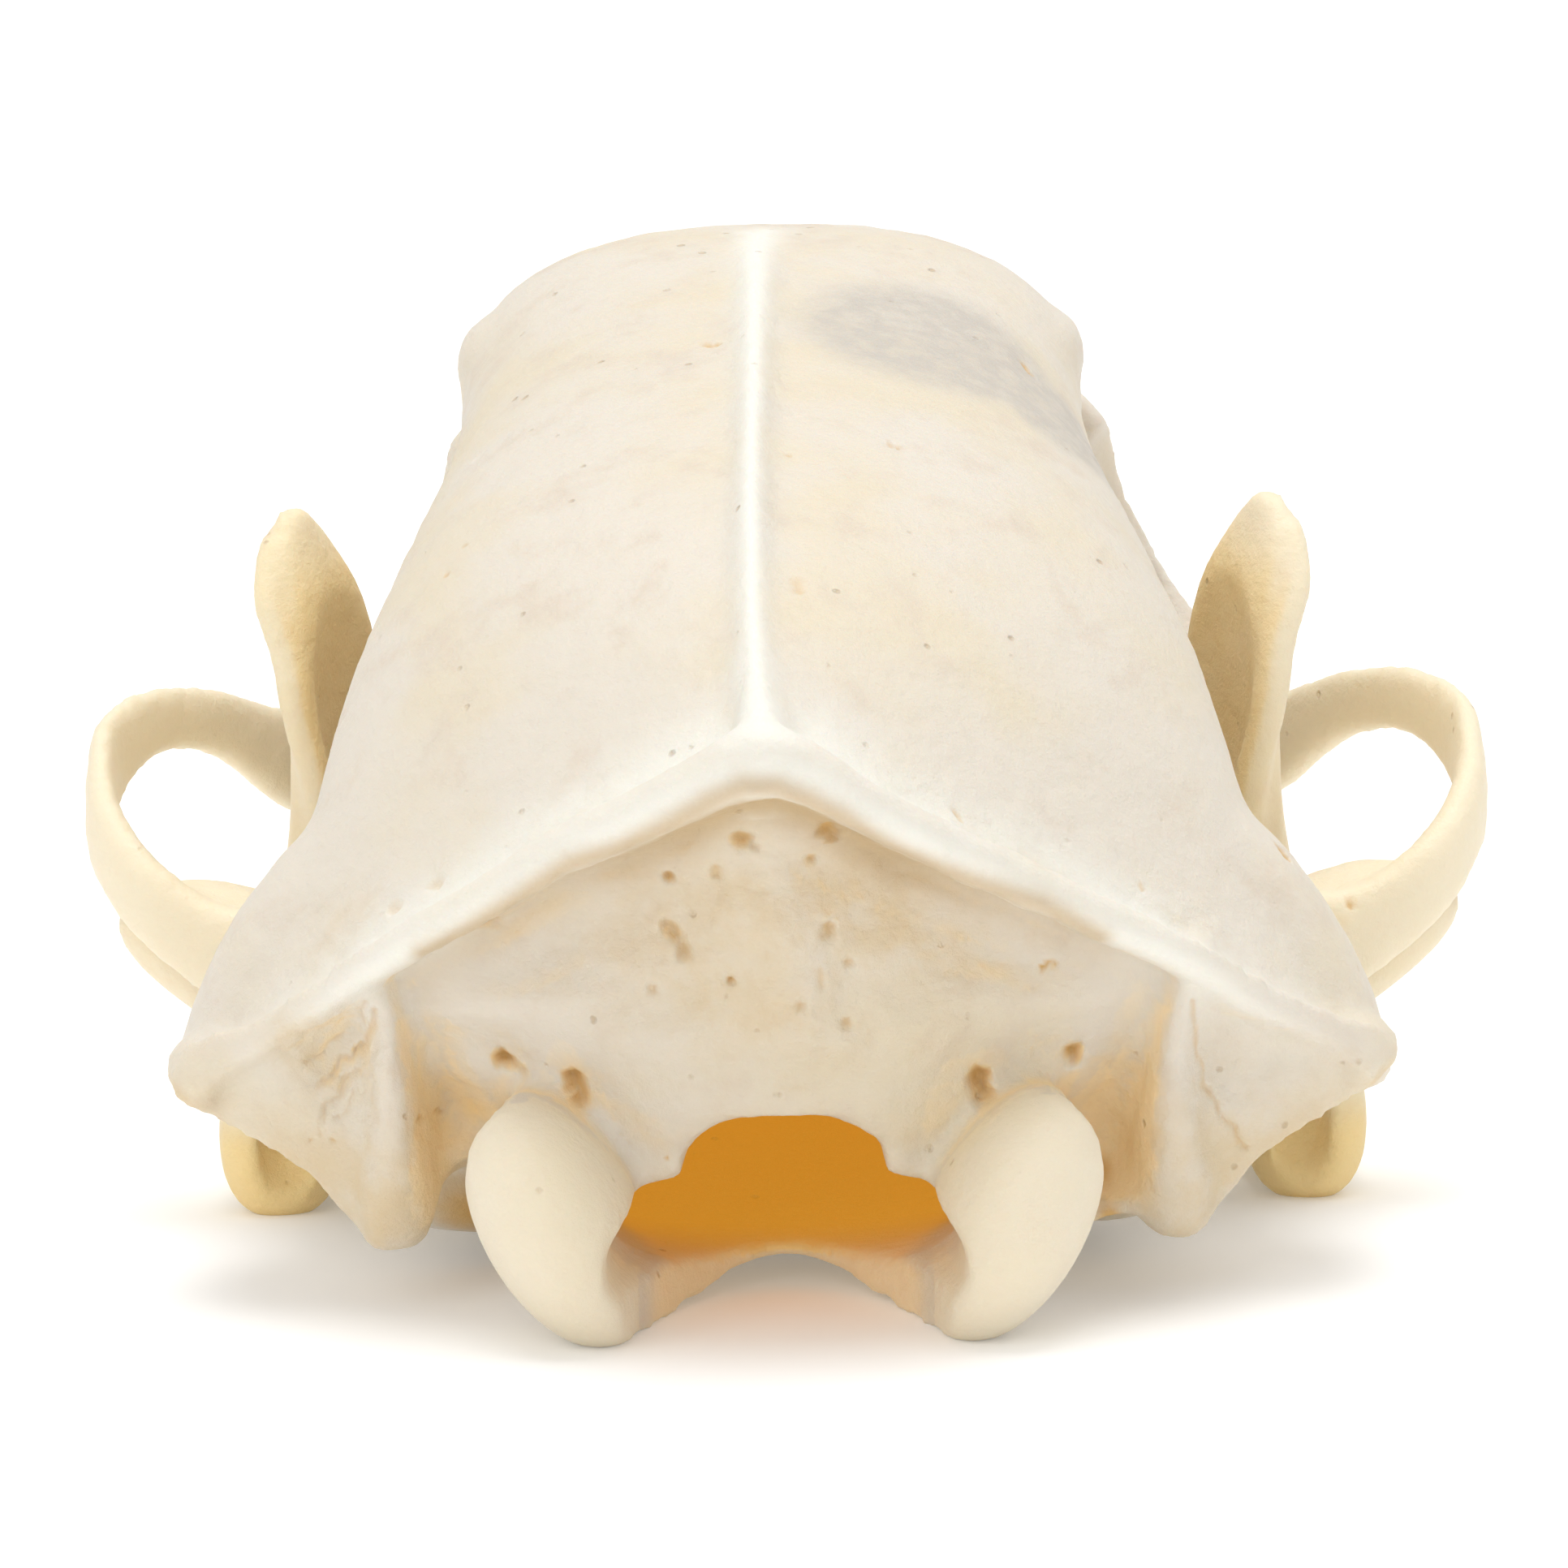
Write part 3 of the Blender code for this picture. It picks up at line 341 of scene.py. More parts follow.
# Simple teeth of one side: name, x, y at the gum, length along the jaw, width, height, and how
# far the tip leans forward and outward.
UPPER_TEETH = (
    ("i1", 1.05, 68.9, 1.5, 1.5, 2.4, -0.2, 0.0),
    ("i2", 2.45, 68.5, 1.6, 1.5, 2.6, -0.2, 0.0),
    ("i3", 3.95, 67.6, 1.9, 1.7, 3.3, -0.3, 0.1),
    ("c", 6.1, 62.7, 3.7, 2.6, 7.8, -1.8, 0.4),
    ("p2", 7.1, 59.5, 2.3, 1.6, 1.9, 0.2, 0.0),
    ("p3", 8.2, 56.9, 3.2, 2.1, 2.8, 0.3, 0.1),
)
LOWER_TEETH = (
    ("i1", 0.75, 66.9, 0.9, 1.0, 1.9, 0.2, 0.0),
    ("i2", 1.75, 66.7, 1.0, 1.0, 2.1, 0.2, 0.0),
    ("i3", 2.7, 66.2, 1.1, 1.1, 2.3, 0.2, 0.2),
    ("c", 3.7, 64.8, 2.9, 2.3, 4.4, 0.9, 1.3),
    ("p2", 3.9, 61.6, 1.9, 1.4, 1.4, 0.2, 0.0),
    ("p3", 4.4, 59.3, 2.3, 1.5, 1.9, 0.2, 0.0),
    ("p4", 5.5, 56.4, 3.0, 1.8, 2.5, 0.2, 0.0),
    ("m2", 11.1, 43.9, 2.2, 2.0, 1.1, 0.0, 0.0),
)
# Cusps of the grinding teeth: x, y, length, width, height. The first row is each tooth's base.
CARNASSIAL_UPPER = (
    (10.6, 52.6, 6.6, 3.0, 1.6),
    (9.4, 54.4, 2.6, 3.6, 1.3),
    (10.6, 53.6, 2.8, 2.2, 4.2),
    (11.4, 50.8, 3.0, 2.0, 3.0),
)
MOLAR_UPPER = (
    (11.0, 46.6, 5.6, 6.6, 1.5),
    (13.0, 47.8, 2.2, 2.2, 2.3),
    (12.8, 45.5, 2.2, 2.2, 2.2),
    (9.2, 46.2, 3.2, 2.4, 1.9),
)
CARNASSIAL_LOWER = (
    (8.4, 50.0, 9.4, 2.7, 1.5),
    (7.3, 53.0, 2.6, 1.8, 3.1),
    (8.0, 51.0, 2.6, 2.0, 3.7),
    (9.6, 47.2, 2.6, 1.6, 2.0),
)
CARNASSIAL_YAW = math.radians(24.0)
# How far each kind of simple tooth is turned to follow its row, in radians.
ROW_YAW = {"i": -1.0, "c": 0.1, "p": 0.35, "m": 0.4}
GUM_SINK = 0.7
UPPER_GUM = 0.0
LOWER_GUM = -5.1
TOOTH_POINTS = 20
# Crowns start GUM_SINK under the gum, with this share of their width.
ROOT_WIDTH = 0.80
# A crown from its gum to its tip: share of the height, and of the width there.
CROWN_PROFILE = (
    (0.0, 0.92), (0.15, 1.0), (0.35, 0.98), (0.55, 0.84), (0.74, 0.62), (0.88, 0.4),
    (0.96, 0.23), (1.0, 0.08),
)

# Back face of the plate beside each paroccipital process: its y at PLATE_TOP (x, z), and how
# much it goes forward for each millimetre outward and upward.
PLATE = (6.5, 0.484, -0.186)
PLATE_TOP = (12.6, 5.3)
# Relief of the back: x, z, half sizes, turn in degrees, and depth, which is less than 0 where
# the bone swells.
BACK_FORMS = (
    (-13.4, 3.6, 0.75, 1.7, -28, 1.4),
    (-14.4, 2.4, 2.2, 1.3, -35, 0.6),
    (13.4, 3.0, 0.8, 2.3, 8, 0.7),
    (14.8, 2.4, 1.8, 1.3, 0, 0.55),
    (-11.0, 3.2, 0.9, 1.9, 12, 0.5),
    (-10.4, 0.9, 0.8, 1.3, 0, 0.7),
    (-10.3, -0.75, 1.1, 0.4, 0, -0.5),
    (10.6, 2.4, 1.1, 1.9, -12, 0.4),
    (10.2, -0.6, 0.8, 1.4, 0, 0.5),
    (-8.9, 3.2, 1.5, 1.0, -25, 0.5),
    (-6.4, 2.9, 0.8, 0.9, 0, 0.35),
    (7.4, 3.2, 2.6, 0.9, 0, 0.35),
    (-7.0, 7.4, 3.0, 1.3, 38, 0.55),
    (-3.6, 8.6, 1.6, 1.8, 25, 0.5),
    (6.0, 7.8, 3.8, 1.5, -32, 0.8),
    (2.2, 10.0, 1.8, 1.2, -20, 0.5),
    (0.2, 7.4, 1.3, 2.6, 0, -0.4),
    (-8.6, 5.0, 2.6, 0.7, 12, -0.45),
    (8.8, 5.0, 2.4, 0.7, -10, -0.35),
    (-4.4, 4.2, 2.0, 1.4, 0, -0.3),
    (4.4, 4.6, 2.2, 1.4, 0, -0.25),
    (0.4, 4.4, 1.7, 0.7, 0, -0.3),
    (-3.4, 1.6, 1.4, 1.2, 0, -0.2),
    (3.2, 1.7, 1.4, 1.2, 0, -0.2),
)
# Overhanging lip of the nuchal crest, seen from behind: x, z.
CREST_LIP = (
    (-11.0, 6.9), (-9.5, 7.9), (-7.9, 9.25), (-6.3, 10.6), (-4.7, 11.2), (-3.15, 12.25),
    (-2.0, 13.1), (-1.0, 13.65), (0.0, 13.6), (1.0, 13.05), (2.0, 12.4), (2.75, 11.65),
    (3.5, 11.0), (4.6, 10.4), (6.2, 9.6), (7.95, 8.8), (9.8, 7.3),
)
# Line of the roof's ridge, seen from above: x, y.
SAGITTAL_LINE = (
    (-0.45, 1.2), (-0.7, 5.0), (-0.75, 10.0), (-0.75, 16.0), (-0.65, 24.0), (-0.6, 31.0),
    (-0.5, 38.0), (-0.3, 43.0),
)
# Pits and grooves of the back: radius, depth, strength of their painted shade, and the places (x,
# z) they run through.
BACK_PITS = (
    (0.34, 0.6, 0.75, ((-1.09, 11.2),)),
    (0.16, 0.3, 0.5, ((-0.75, 11.0),)),
    (0.20, 0.3, 0.45, ((-1.94, 10.15), (-1.94, 9.95))),
    (0.24, 0.4, 0.8, ((-3.36, 9.72),)),
    (0.26, 0.45, 0.45, ((-3.45, 8.0), (-3.1, 7.6), (-2.95, 7.2))),
    (0.18, 0.35, 0.9, ((-1.55, 6.48),)),
    (0.20, 0.25, 0.45, ((-3.94, 6.01),)),
    (0.36, 0.6, 0.85, ((1.53, 11.38),)),
    (0.20, 0.3, 0.6, ((0.95, 10.43),)),
    (0.26, 0.4, 0.5, ((1.49, 8.2), (1.49, 8.0))),
    (0.18, 0.22, 0.45, ((2.05, 6.99),)),
    (0.20, 0.25, 0.45, ((1.97, 5.02),)),
    (0.17, 0.2, 0.35, ((0.56, 5.77),)),
    (0.15, 0.12, 0.3, ((1.2, 6.9), (1.25, 6.4))),
    (0.12, 0.12, 1.0, ((8.1, 5.9), (8.3, 6.05), (8.5, 6.0))),
    (0.26, 0.4, 0.35, ((-9.3, 7.8), (-8.9, 7.8))),
    (0.34, 0.8, 0.85, ((-8.7, 2.95),)),
    (0.20, 0.3, 0.4, ((-8.5, 2.9), (-8.1, 2.7))),
    (0.34, 0.9, 0.7, ((-6.5, 2.7), (-6.3, 2.1))),
    (0.34, 0.9, 0.7, ((6.05, 2.7), (6.25, 2.1))),
    (0.36, 0.8, 0.9, ((9.05, 2.8),)),
    (0.13, 0.25, 0.8, ((-11.42, 0.98), (-11.3, 0.8))),
    (0.11, 0.2, 0.6, ((-11.0, 0.7), (-10.8, 0.5))),
    (0.12, 0.15, 0.5, ((-14.6, 0.2),)),
    (0.10, 0.12, 0.5, ((-14.2, 0.0),)),
    (0.10, 0.12, 0.4, ((-14.9, -0.1),)),
    (0.07, 0.06, 0.9, ((-3.64, 0.37),)),
    (0.11, 0.14, 0.35, (
        (12.8, 4.6), (12.85, 4.0), (12.95, 3.3), (12.95, 2.6), (13.2, 2.0), (13.2, 1.4),
        (13.6, 0.8), (13.75, 0.3), (14.2, -0.1), (14.3, -0.6), (14.55, -0.9))),
    (0.14, 0.22, 0.35, ((-12.7, 4.6), (-12.75, 4.1), (-13.0, 3.5), (-13.05, 3.1), (-13.4, 2.8))),
    (0.11, 0.2, 0.25, ((-13.2, 3.1), (-13.5, 2.6), (-13.9, 2.5), (-14.1, 2.0), (-14.6, 1.7))),
    (0.10, 0.18, 0.25, ((-13.3, 2.3), (-13.8, 1.9), (-13.9, 1.4), (-14.4, 1.1), (-14.5, 0.6))),
    (0.09, 0.15, 0.2, ((-12.95, 4.9), (-13.15, 4.5), (-13.1, 4.0))),
    (0.09, 0.15, 0.2, ((-13.7, 3.4), (-14.2, 3.1), (-14.4, 2.7), (-15.0, 2.4))),
    (0.08, 0.12, 0.2, ((-13.5, 1.6), (-13.7, 1.0), (-14.1, 0.7))),
)
# Finer faces reach this far past the pits of the roof.
PIT_MARGIN = 0.4
# Pits of the roof and the sides: radius, depth, strength of their painted shade, and the places
# (x, y) they run through.
ROOF_PITS = (
    (0.20, 0.22, 0.3, ((-10.7, 7.2), (-10.5, 7.0))),
    (0.18, 0.18, 0.25, ((-12.1, 8.0), (-11.9, 7.7))),
    (0.14, 0.12, 0.7, ((-2.2, 30.3), (-1.9, 30.0), (-1.7, 30.2))),
    (0.16, 0.15, 0.7, ((8.5, 34.3), (8.7, 33.6))),
    (0.12, 0.1, 0.6, ((0.49, 19.8),)),
    (0.30, 0.1, 0.35, ((0.7, 11.2), (0.75, 10.6))),
    (0.14, 0.12, 0.5, ((3.7, 21.4), (4.2, 21.1))),
    (0.14, 0.1, 0.5, ((-10.5, 18.3),)),
    (0.12, 0.1, 0.4, ((-9.9, 19.4),)),
    (0.18, 0.25, 0.9, ((15.9, 14.0), (16.1, 13.8))),
    (0.20, 0.25, 0.8, ((18.7, 22.4),)),
    (0.10, 0.1, 0.5, ((11.24, 7.7),)),
    (0.12, 0.1, 0.5, ((5.4, 4.5), (5.6, 4.35))),
    (0.12, 0.1, 0.5, ((2.5, 42.4),)),
)
# Triangles kept on the upper skull once its pits are in.
MOST_TRIANGLES = 190000
# Size of the rough relief, and half width of the crest's lip.
ROUGH_SIZE = 1.3
LIP_WIDTH = 0.42
# Rays that feel how shut in a place is: how many, where they start and how far they reach.
RAYS = 28
RAY_START = 0.25
RAY_REACH = 5.0
GOLDEN_ANGLE = 2.39996
# Soft stains and soft patches of painted shade and painted glow: which mark, its middle (x, y, z),
# its three half sizes, and its strength.
STAINS_SHADE_AND_GLOW = (
    ("tan_stain_and_shade", (0.0, 4.0, 7.6), (13.0, 5.0, 7.5), 0.6),
    ("tan_stain_and_shade", (-14.4, 7.5, 2.6), (3.4, 3.0, 3.2), 0.7),
    ("tan_stain_and_shade", (-13.2, 7.0, 3.4), (1.3, 2.5, 1.9), 0.5),
    ("tan_stain_and_shade", (-10.8, 7.2, 1.6), (1.8, 3.0, 4.2), 0.5),
    ("tan_stain_and_shade", (10.7, 7.2, 0.8), (1.9, 3.0, 4.4), 0.5),
    ("tan_stain_and_shade", (14.3, 7.5, 1.6), (3.4, 3.0, 3.4), 0.35),
    ("tan_stain_and_shade", (0.0, 3.5, 9.8), (3.8, 3.0, 2.6), 0.6),
    ("tan_stain_and_shade", (-5.8, 4.5, 7.6), (4.6, 3.0, 2.6), 0.45),
    ("tan_stain_and_shade", (6.4, 4.5, 7.2), (5.0, 3.0, 2.4), 0.5),
    ("tan_stain_and_shade", (-8.9, 6.2, 3.3), (1.7, 2.0, 1.2), 0.6),
    ("tan_stain_and_shade", (8.6, 6.2, 3.0), (2.2, 2.0, 1.3), 0.6),
    ("tan_stain_and_shade", (0.3, 4.4, 2.9), (1.2, 1.0, 0.4), 0.5),
    ("tan_stain_and_shade", (-13.4, 9.5, 6.6), (4.6, 5.0, 2.8), 0.3),
    ("tan_stain_and_shade", (12.6, 8.4, 7.0), (2.6, 3.0, 1.6), 0.3),
    ("tan_stain_and_shade", (18.9, 10.5, 0.9), (1.6, 2.0, 1.2), 0.9),
    ("tan_stain_and_shade", (-18.9, 10.5, 0.9), (1.9, 2.0, 1.3), 0.9),
    # Painted shade under the crest's apex.
    ("tan_stain_and_shade", (0.0, 1.6, 12.6), (3.2, 2.5, 1.3), 0.75),
    ("tan_stain_and_shade", (-9.6, 13.0, -3.2), (4.0, 5.0, 3.0), 1.0),
    ("tan_stain_and_shade", (9.6, 13.0, -3.2), (4.0, 5.0, 3.0), 0.8),
    ("grey", (5.4, 32.4, 19.0), (6.7, 7.7, 12.0), 1.0),
    ("grey", (9.4, 30.6, 17.5), (3.3, 6.0, 9.0), 0.9),
    # Painted glow: a small spot of light through thin bone, low on the back.
    ("painted_glow", (-9.8, 8.6, 0.6), (0.8, 1.4, 0.8), 0.35),
    # Painted shade in the deep holes low on the back.
    ("pit_shade", (-9.4, 13.0, -4.0), (2.6, 4.0, 2.2), 0.9),
    ("pit_shade", (9.9, 8.1, -1.6), (0.7, 3.0, 0.6), 0.9),
    ("pit_shade", (10.2, 7.6, -2.7), (0.5, 3.0, 0.45), 0.9),
)
# Colours of the bone's painted edge highlight, stains, pores and painted pit shade, and the
# cavity's weak painted glow.
# Painted highlight on the tops of the ridge and the crest.
RIDGE_HIGHLIGHT = (0.86, 0.85, 0.775, 1)
GREY_PATCH = (0.56, 0.51, 0.44, 1)
# Painted glow: orange light through the thin wall of the brain cavity, as base colour and as
# emission.
PAINTED_GLOW_BASE = (0.69, 0.44, 0.115, 1)
PAINTED_GLOW_EMISSION = (0.46, 0.27, 0.028, 1)
PORE_BROWN = (0.50, 0.33, 0.15, 1)
# Painted shade at the bottom of pits, grooves and holes.
PIT_SHADE_BROWN = (0.66, 0.40, 0.12, 1)
ENAMEL = (0.86, 0.80, 0.66, 1)
OLD_ENAMEL = (0.78, 0.66, 0.44, 1)
TOOTH_NECK = (0.68, 0.52, 0.3, 1)

# The photograph's camera: what it looks at, how far off, how high, its roll and its lens.
CAMERA_TARGET = (0.2, 0.0, 13.9)
CAMERA_DISTANCE = 270.0
CAMERA_RISE = math.radians(16.5)
CAMERA_ROLL = math.radians(1.0)
CAMERA_SENSOR = 36.0
CAMERA_LENS = 11040.0 / 1932.0 * CAMERA_SENSOR

# The table and its weak glow, and the lamps: name, place and size in metres, and watts.
TABLE_SIZE = 6.0
TABLE_GLOW = 0.12
LIGHTS = (
    ("overhead", (0.0, 0.05, 0.9), 0.75, 4.75),
    ("left_back", (-0.45, -0.85, 0.6), 0.7, 2.0),
    ("right_front", (0.7, 0.4, 0.8), 0.6, 1.0),
)
LIGHTS_AIM = (0, 0, 0.01)


def only(piece):
    """Makes one object the only selected one, and the active one."""
    bpy.ops.object.select_all(action="DESELECT")
    piece.select_set(True)
    bpy.context.view_layer.objects.active = piece


def primitive(name, add, **sizes):
    """What one of the add operators makes, selected alone and under its own name."""
    bpy.ops.object.select_all(action="DESELECT")
    add(**sizes)
    piece = bpy.context.object
    piece.name = name
    return piece


def pick(piece, elements, kind, chosen):
    """Enters edit mode with only the chosen vertices or faces selected."""
    only(piece)
    bpy.ops.object.mode_set(mode="EDIT")
    bpy.ops.mesh.select_mode(type=kind)
    bpy.ops.mesh.select_all(action="DESELECT")
    bpy.ops.object.mode_set(mode="OBJECT")
    elements.foreach_set("select", chosen)
    bpy.ops.object.mode_set(mode="EDIT")


def smooth_step(values, low, high):
    """0 before the first bound, 1 past the second, smooth between."""
    t = np.clip((values - low) / (high - low), 0, 1)
    return t * t * (3 - 2 * t)


def bell(away, width):
    """1 on a line, fading smoothly on both sides of it."""
    return np.exp(-((away / width) ** 2))


def hermite(table, steps):
    """Rows of a table read off smooth curves through its rows, evenly in its row number."""
    table = np.array(table, float)
    count = len(table)
    slopes = np.gradient(table, axis=0)
    rows = []
    for t in np.linspace(0, count - 1, steps):
        i = min(int(t), count - 2)
        f = t - i
        rows.append(
            (2 * f**3 - 3 * f**2 + 1) * table[i]
            + (f**3 - 2 * f**2 + f) * slopes[i]
            + (3 * f**2 - 2 * f**3) * table[i + 1]
            + (f**3 - f**2) * slopes[i + 1]
        )
    return rows


def oval(centre, side, up, down, square_up=2.0, square_down=2.0, points=RING_POINTS):
    """Ring of points on a superellipse whose upper and lower halves differ."""
    ring = []
    for k in range(points):
        angle = 2 * math.pi * k / points
        c, s = math.cos(angle), math.sin(angle)
        power = 2 / (square_up if s >= 0 else square_down)
        across = math.copysign(abs(c) ** power, c)
        along = math.copysign(abs(s) ** power, s)
        ring.append(centre + side * across + (up if s >= 0 else down) * along)
    return ring


def loft(name, rings):
    """A disc drawn out section by section through a row of rings, closed at both ends."""
    piece = primitive(name, bpy.ops.mesh.primitive_circle_add, vertices=len(rings[0]),
                      radius=MM, fill_type="NGON")
    bpy.ops.object.mode_set(mode="EDIT")
    bm = bmesh.from_edit_mesh(piece.data)
    row = list(bm.verts)
    for vert, spot in zip(row, rings[0]):
        vert.co = spot * MM
    for ring in rings[1:]:
        bpy.ops.mesh.extrude_region_move()
        bm = bmesh.from_edit_mesh(piece.data)
        bm.verts.ensure_lookup_table()
        old = set(row)
        lookup = {}
        for vert in bm.verts:
            if vert.select:
                for edge in vert.link_edges:
                    other = edge.other_vert(vert)
                    if other in old:
                        lookup[other] = vert
        row = [lookup[vert] for vert in row]
        for vert, spot in zip(row, ring):
            vert.co = spot * MM
    bmesh.update_edit_mesh(piece.data)
    bpy.ops.mesh.select_all(action="SELECT")
    bpy.ops.mesh.normals_make_consistent(inside=False)
    bpy.ops.object.mode_set(mode="OBJECT")
    return piece


def section(row, points=RING_POINTS):
    """Ring across the skull from a row of section sizes."""
    y, half, top, wide, bottom, upper, lower = row
    up, down = Vector((0, 0, top - wide)), Vector((0, 0, wide - bottom))
    return oval(Vector((0, y, wide)), Vector((half, 0, 0)), up, down, upper, lower, points)


def body(name, table, steps, points=RING_POINTS):
    """Loft along the skull from a table of section sizes."""
    return loft(name, [section(row, points) for row in hermite(table, steps)])


def ribbon(name, table, steps, points=20, square=2.4):
    """Upright bar that follows a curve seen from above: x, y, z, half thickness, half height."""
    rows = np.array(hermite(table, steps))
    forward = np.gradient(rows[:, :2], axis=0)
    rings = []
    for (x, y, z, thick, high), (dx, dy) in zip(rows, forward):
        side = Vector((dy, -dx, 0)).normalized() * thick
        up = Vector((0, 0, high))
        rings.append(oval(Vector((x, y, z)), side, up, up, square, square, points))
    return loft(name, rings)


def turned_axes(yaw):
    """Ways along and across something that is turned to the left by a yaw."""
    return Vector((-math.sin(yaw), math.cos(yaw), 0)), Vector((math.cos(yaw), math.sin(yaw), 0))


def column(name, table, steps, yaw=0.0, points=20, square=2.2):
    """Upright blade or horn: z, x, y, half length along its yaw, half thickness."""
    along, across = turned_axes(yaw)
    rings = []
    for z, x, y, half, thick in hermite(table, steps):
        length = along * half
        rings.append(oval(Vector((x, y, z)), across * thick, length, length,
                          square, square, points))
    return loft(name, rings)


def ball(name, centre, radii, turn=(0, 0, 0)):
    """Ellipsoid, turned by degrees about x, y and z."""
    piece = primitive(name, bpy.ops.mesh.primitive_uv_sphere_add, segments=36, ring_count=18,
                      radius=1)
    spin = Euler([math.radians(a) for a in turn]).to_matrix().to_4x4()
    stretch = Matrix.Diagonal((*[r * MM for r in radii], 1))
    piece.data.transform(Matrix.Translation(Vector(centre) * MM) @ spin @ stretch)
    return piece


def tube(name, start, end, radius):
    """Round bar between two points."""
    start, end = Vector(start), Vector(end)
    axis = end - start
    piece = primitive(name, bpy.ops.mesh.primitive_cylinder_add, vertices=28,
                      radius=radius * MM, depth=axis.length * MM)
    turn = axis.to_track_quat("Z", "Y").to_matrix().to_4x4()
    piece.data.transform(Matrix.Translation((start + end) / 2 * MM) @ turn)
    return piece


def spindle(name, start, end, radius):
    """Long rounded knuckle between two points."""
    start, end = Vector(start), Vector(end)
    axis = end - start
    side = axis.orthogonal().normalized()
    other = axis.cross(side).normalized()
    rings = []
    for t in np.linspace(-1, 1, 28):
        thick = max(0.04, (1 - abs(t) ** 3.2) ** 0.5) * radius
        middle = (start + end) / 2 + axis * t / 2
        rings.append(oval(middle, side * thick, other * thick, other * thick, points=28))
    return loft(name, rings)


def block(name, low, high):
    """Box between two corners."""
    piece = primitive(name, bpy.ops.mesh.primitive_cube_add, size=1)
    low, high = Vector(low), Vector(high)
    stretch = Matrix.Diagonal((*((high - low) * MM), 1))
    piece.data.transform(Matrix.Translation((low + high) / 2 * MM) @ stretch)
    return piece


def placed(name, data):
    """A new object of the scene around a mesh, a lamp or a camera."""
    holder = bpy.data.objects.new(name, data)
    bpy.context.scene.collection.objects.link(holder)
    return holder


def twin(right, name):
    """The left side's copy of a piece of the right side."""
    left = placed(name, right.data.copy())
    left.data.transform(Matrix.Diagonal((-1, 1, 1, 1)))
    left.data.flip_normals()
    return left


def mirrored(make):
    """A piece of the right side and its twin on the left."""
    right = make()
    return [right, twin(right, right.name + "_left")]


def swayed(pieces, sway=SWAY):
    """Both sides of the arches and the jaw sit a little to the right, more so at the back."""
    for piece in pieces:
        for vert in piece.data.vertices:
            vert.co.x += sway * max(0.0, 1 - vert.co.y / (SWAY_FROM * MM)) * MM
    return pieces


def modifier(piece, kind, **settings):
    """Adds a modifier, sets it and applies it."""
    only(piece)
    step = piece.modifiers.new(kind.title(), kind)
    for key, value in settings.items():
        setattr(step, key, value)
    bpy.ops.object.modifier_apply(modifier=step.name)


def boolean(piece, others, operation):
    """Joins or cuts a piece and a collection of others, which go."""
    group = bpy.data.collections.new(piece.name + "_others")
    for other in others:
        group.objects.link(other)
    modifier(piece, "BOOLEAN", operation=operation, operand_type="COLLECTION",
             collection=group, solver="MANIFOLD")
    for other in others:
        bpy.data.objects.remove(other)
    bpy.data.collections.remove(group)


def keep_largest(piece):
    """Leaves only the largest connected surface of a piece."""
    mesh = piece.data
    count = len(mesh.vertices)
    edges = np.empty(len(mesh.edges) * 2, int)
    mesh.edges.foreach_get("vertices", edges)
    edges = edges.reshape(-1, 2)
    label = np.arange(count)
    while True:
        low = np.minimum(label[edges[:, 0]], label[edges[:, 1]])
        new = label.copy()
        np.minimum.at(new, edges[:, 0], low)
        np.minimum.at(new, edges[:, 1], low)
        new = new[new]
        if (new == label).all():
            break
        label = new
    names, sizes = np.unique(label, return_counts=True)
    stray = label != names[sizes.argmax()]
    if stray.any():
        pick(piece, mesh.vertices, "VERT", stray)
        bpy.ops.mesh.delete(type="VERT")
        bpy.ops.object.mode_set(mode="OBJECT")


def read_rows(elements, what):
    """One row of three numbers from each vertex or face."""
    values = np.empty(len(elements) * 3)
    elements.foreach_get(what, values)
    return values.reshape(-1, 3)


def places(piece):
    """Vertex places of a piece in millimetres, one row each."""
    return read_rows(piece.data.vertices, "co") / MM


def directions(piece):
    """Vertex normals of a piece, one row each."""
    return read_rows(piece.data.vertices, "normal")


def put(piece, spots):
    """Moves the vertices of a piece to new places in millimetres."""
    piece.data.vertices.foreach_set("co", (spots * MM).ravel())
    piece.data.update()


def bow_back(piece):
    """Sweeps the back of the braincase forward at its sides and below the crest."""
    for vert in piece.data.vertices:
        x, y, z = vert.co / MM
        fade = max(0.0, 1 - y / CREST_FADES_AT)
        bow = CREST_BOW * (abs(x) / CREST_REACH) ** CREST_BOW_POWER
        middle = max(0.0, 1 - (abs(x) / RECESS_HALF_WIDTH) ** 4)
        below = min(max((RECESS_FROM - z) / RECESS_DROP, 0.0), 1.0)
        recess = OCCIPUT_RECESS * below * below * (3 - 2 * below) * middle
        vert.co.y += (bow + recess) * fade * MM
        droop = CREST_DROOP * math.sin(math.pi * min(max(x, 0.0) / DROOP_WIDTH, 1.0))
        high = min(max((z - DROOP_FROM) / DROOP_RISE, 0.0), 1.0)
        vert.co.z -= droop * fade * fade * high * MM


def make_vault():
    """Braincase and face, closed behind by the dished back inside the crest."""
    rings = []
    _, half, top, _, bottom, square, _ = VAULT[0]
    for share, forward in reversed(OCCIPUT_DISH):
        centre, side = Vector((0, forward, DISH_MIDDLE)), Vector((half * share, 0, 0))
        up = Vector((0, 0, (top - DISH_MIDDLE) * share))
        down = Vector((0, 0, (DISH_MIDDLE - bottom) * share))
        rings.append(oval(centre, side, up, down, square + 0.5 * (1 - share)))
    rings += [section(row) for row in hermite(VAULT, 90)]
    vault = loft("cranium", rings)
    bow_back(vault)
    return vault


def ear_flare():
    """Swelling of the braincase's side over the ear."""
    flare = body("ear_flare", EAR_FLARE, 24, 40)
    flare.data.transform(Matrix.Translation(Vector((EAR_FLARE_X, 0, 0)) * MM))
    return flare


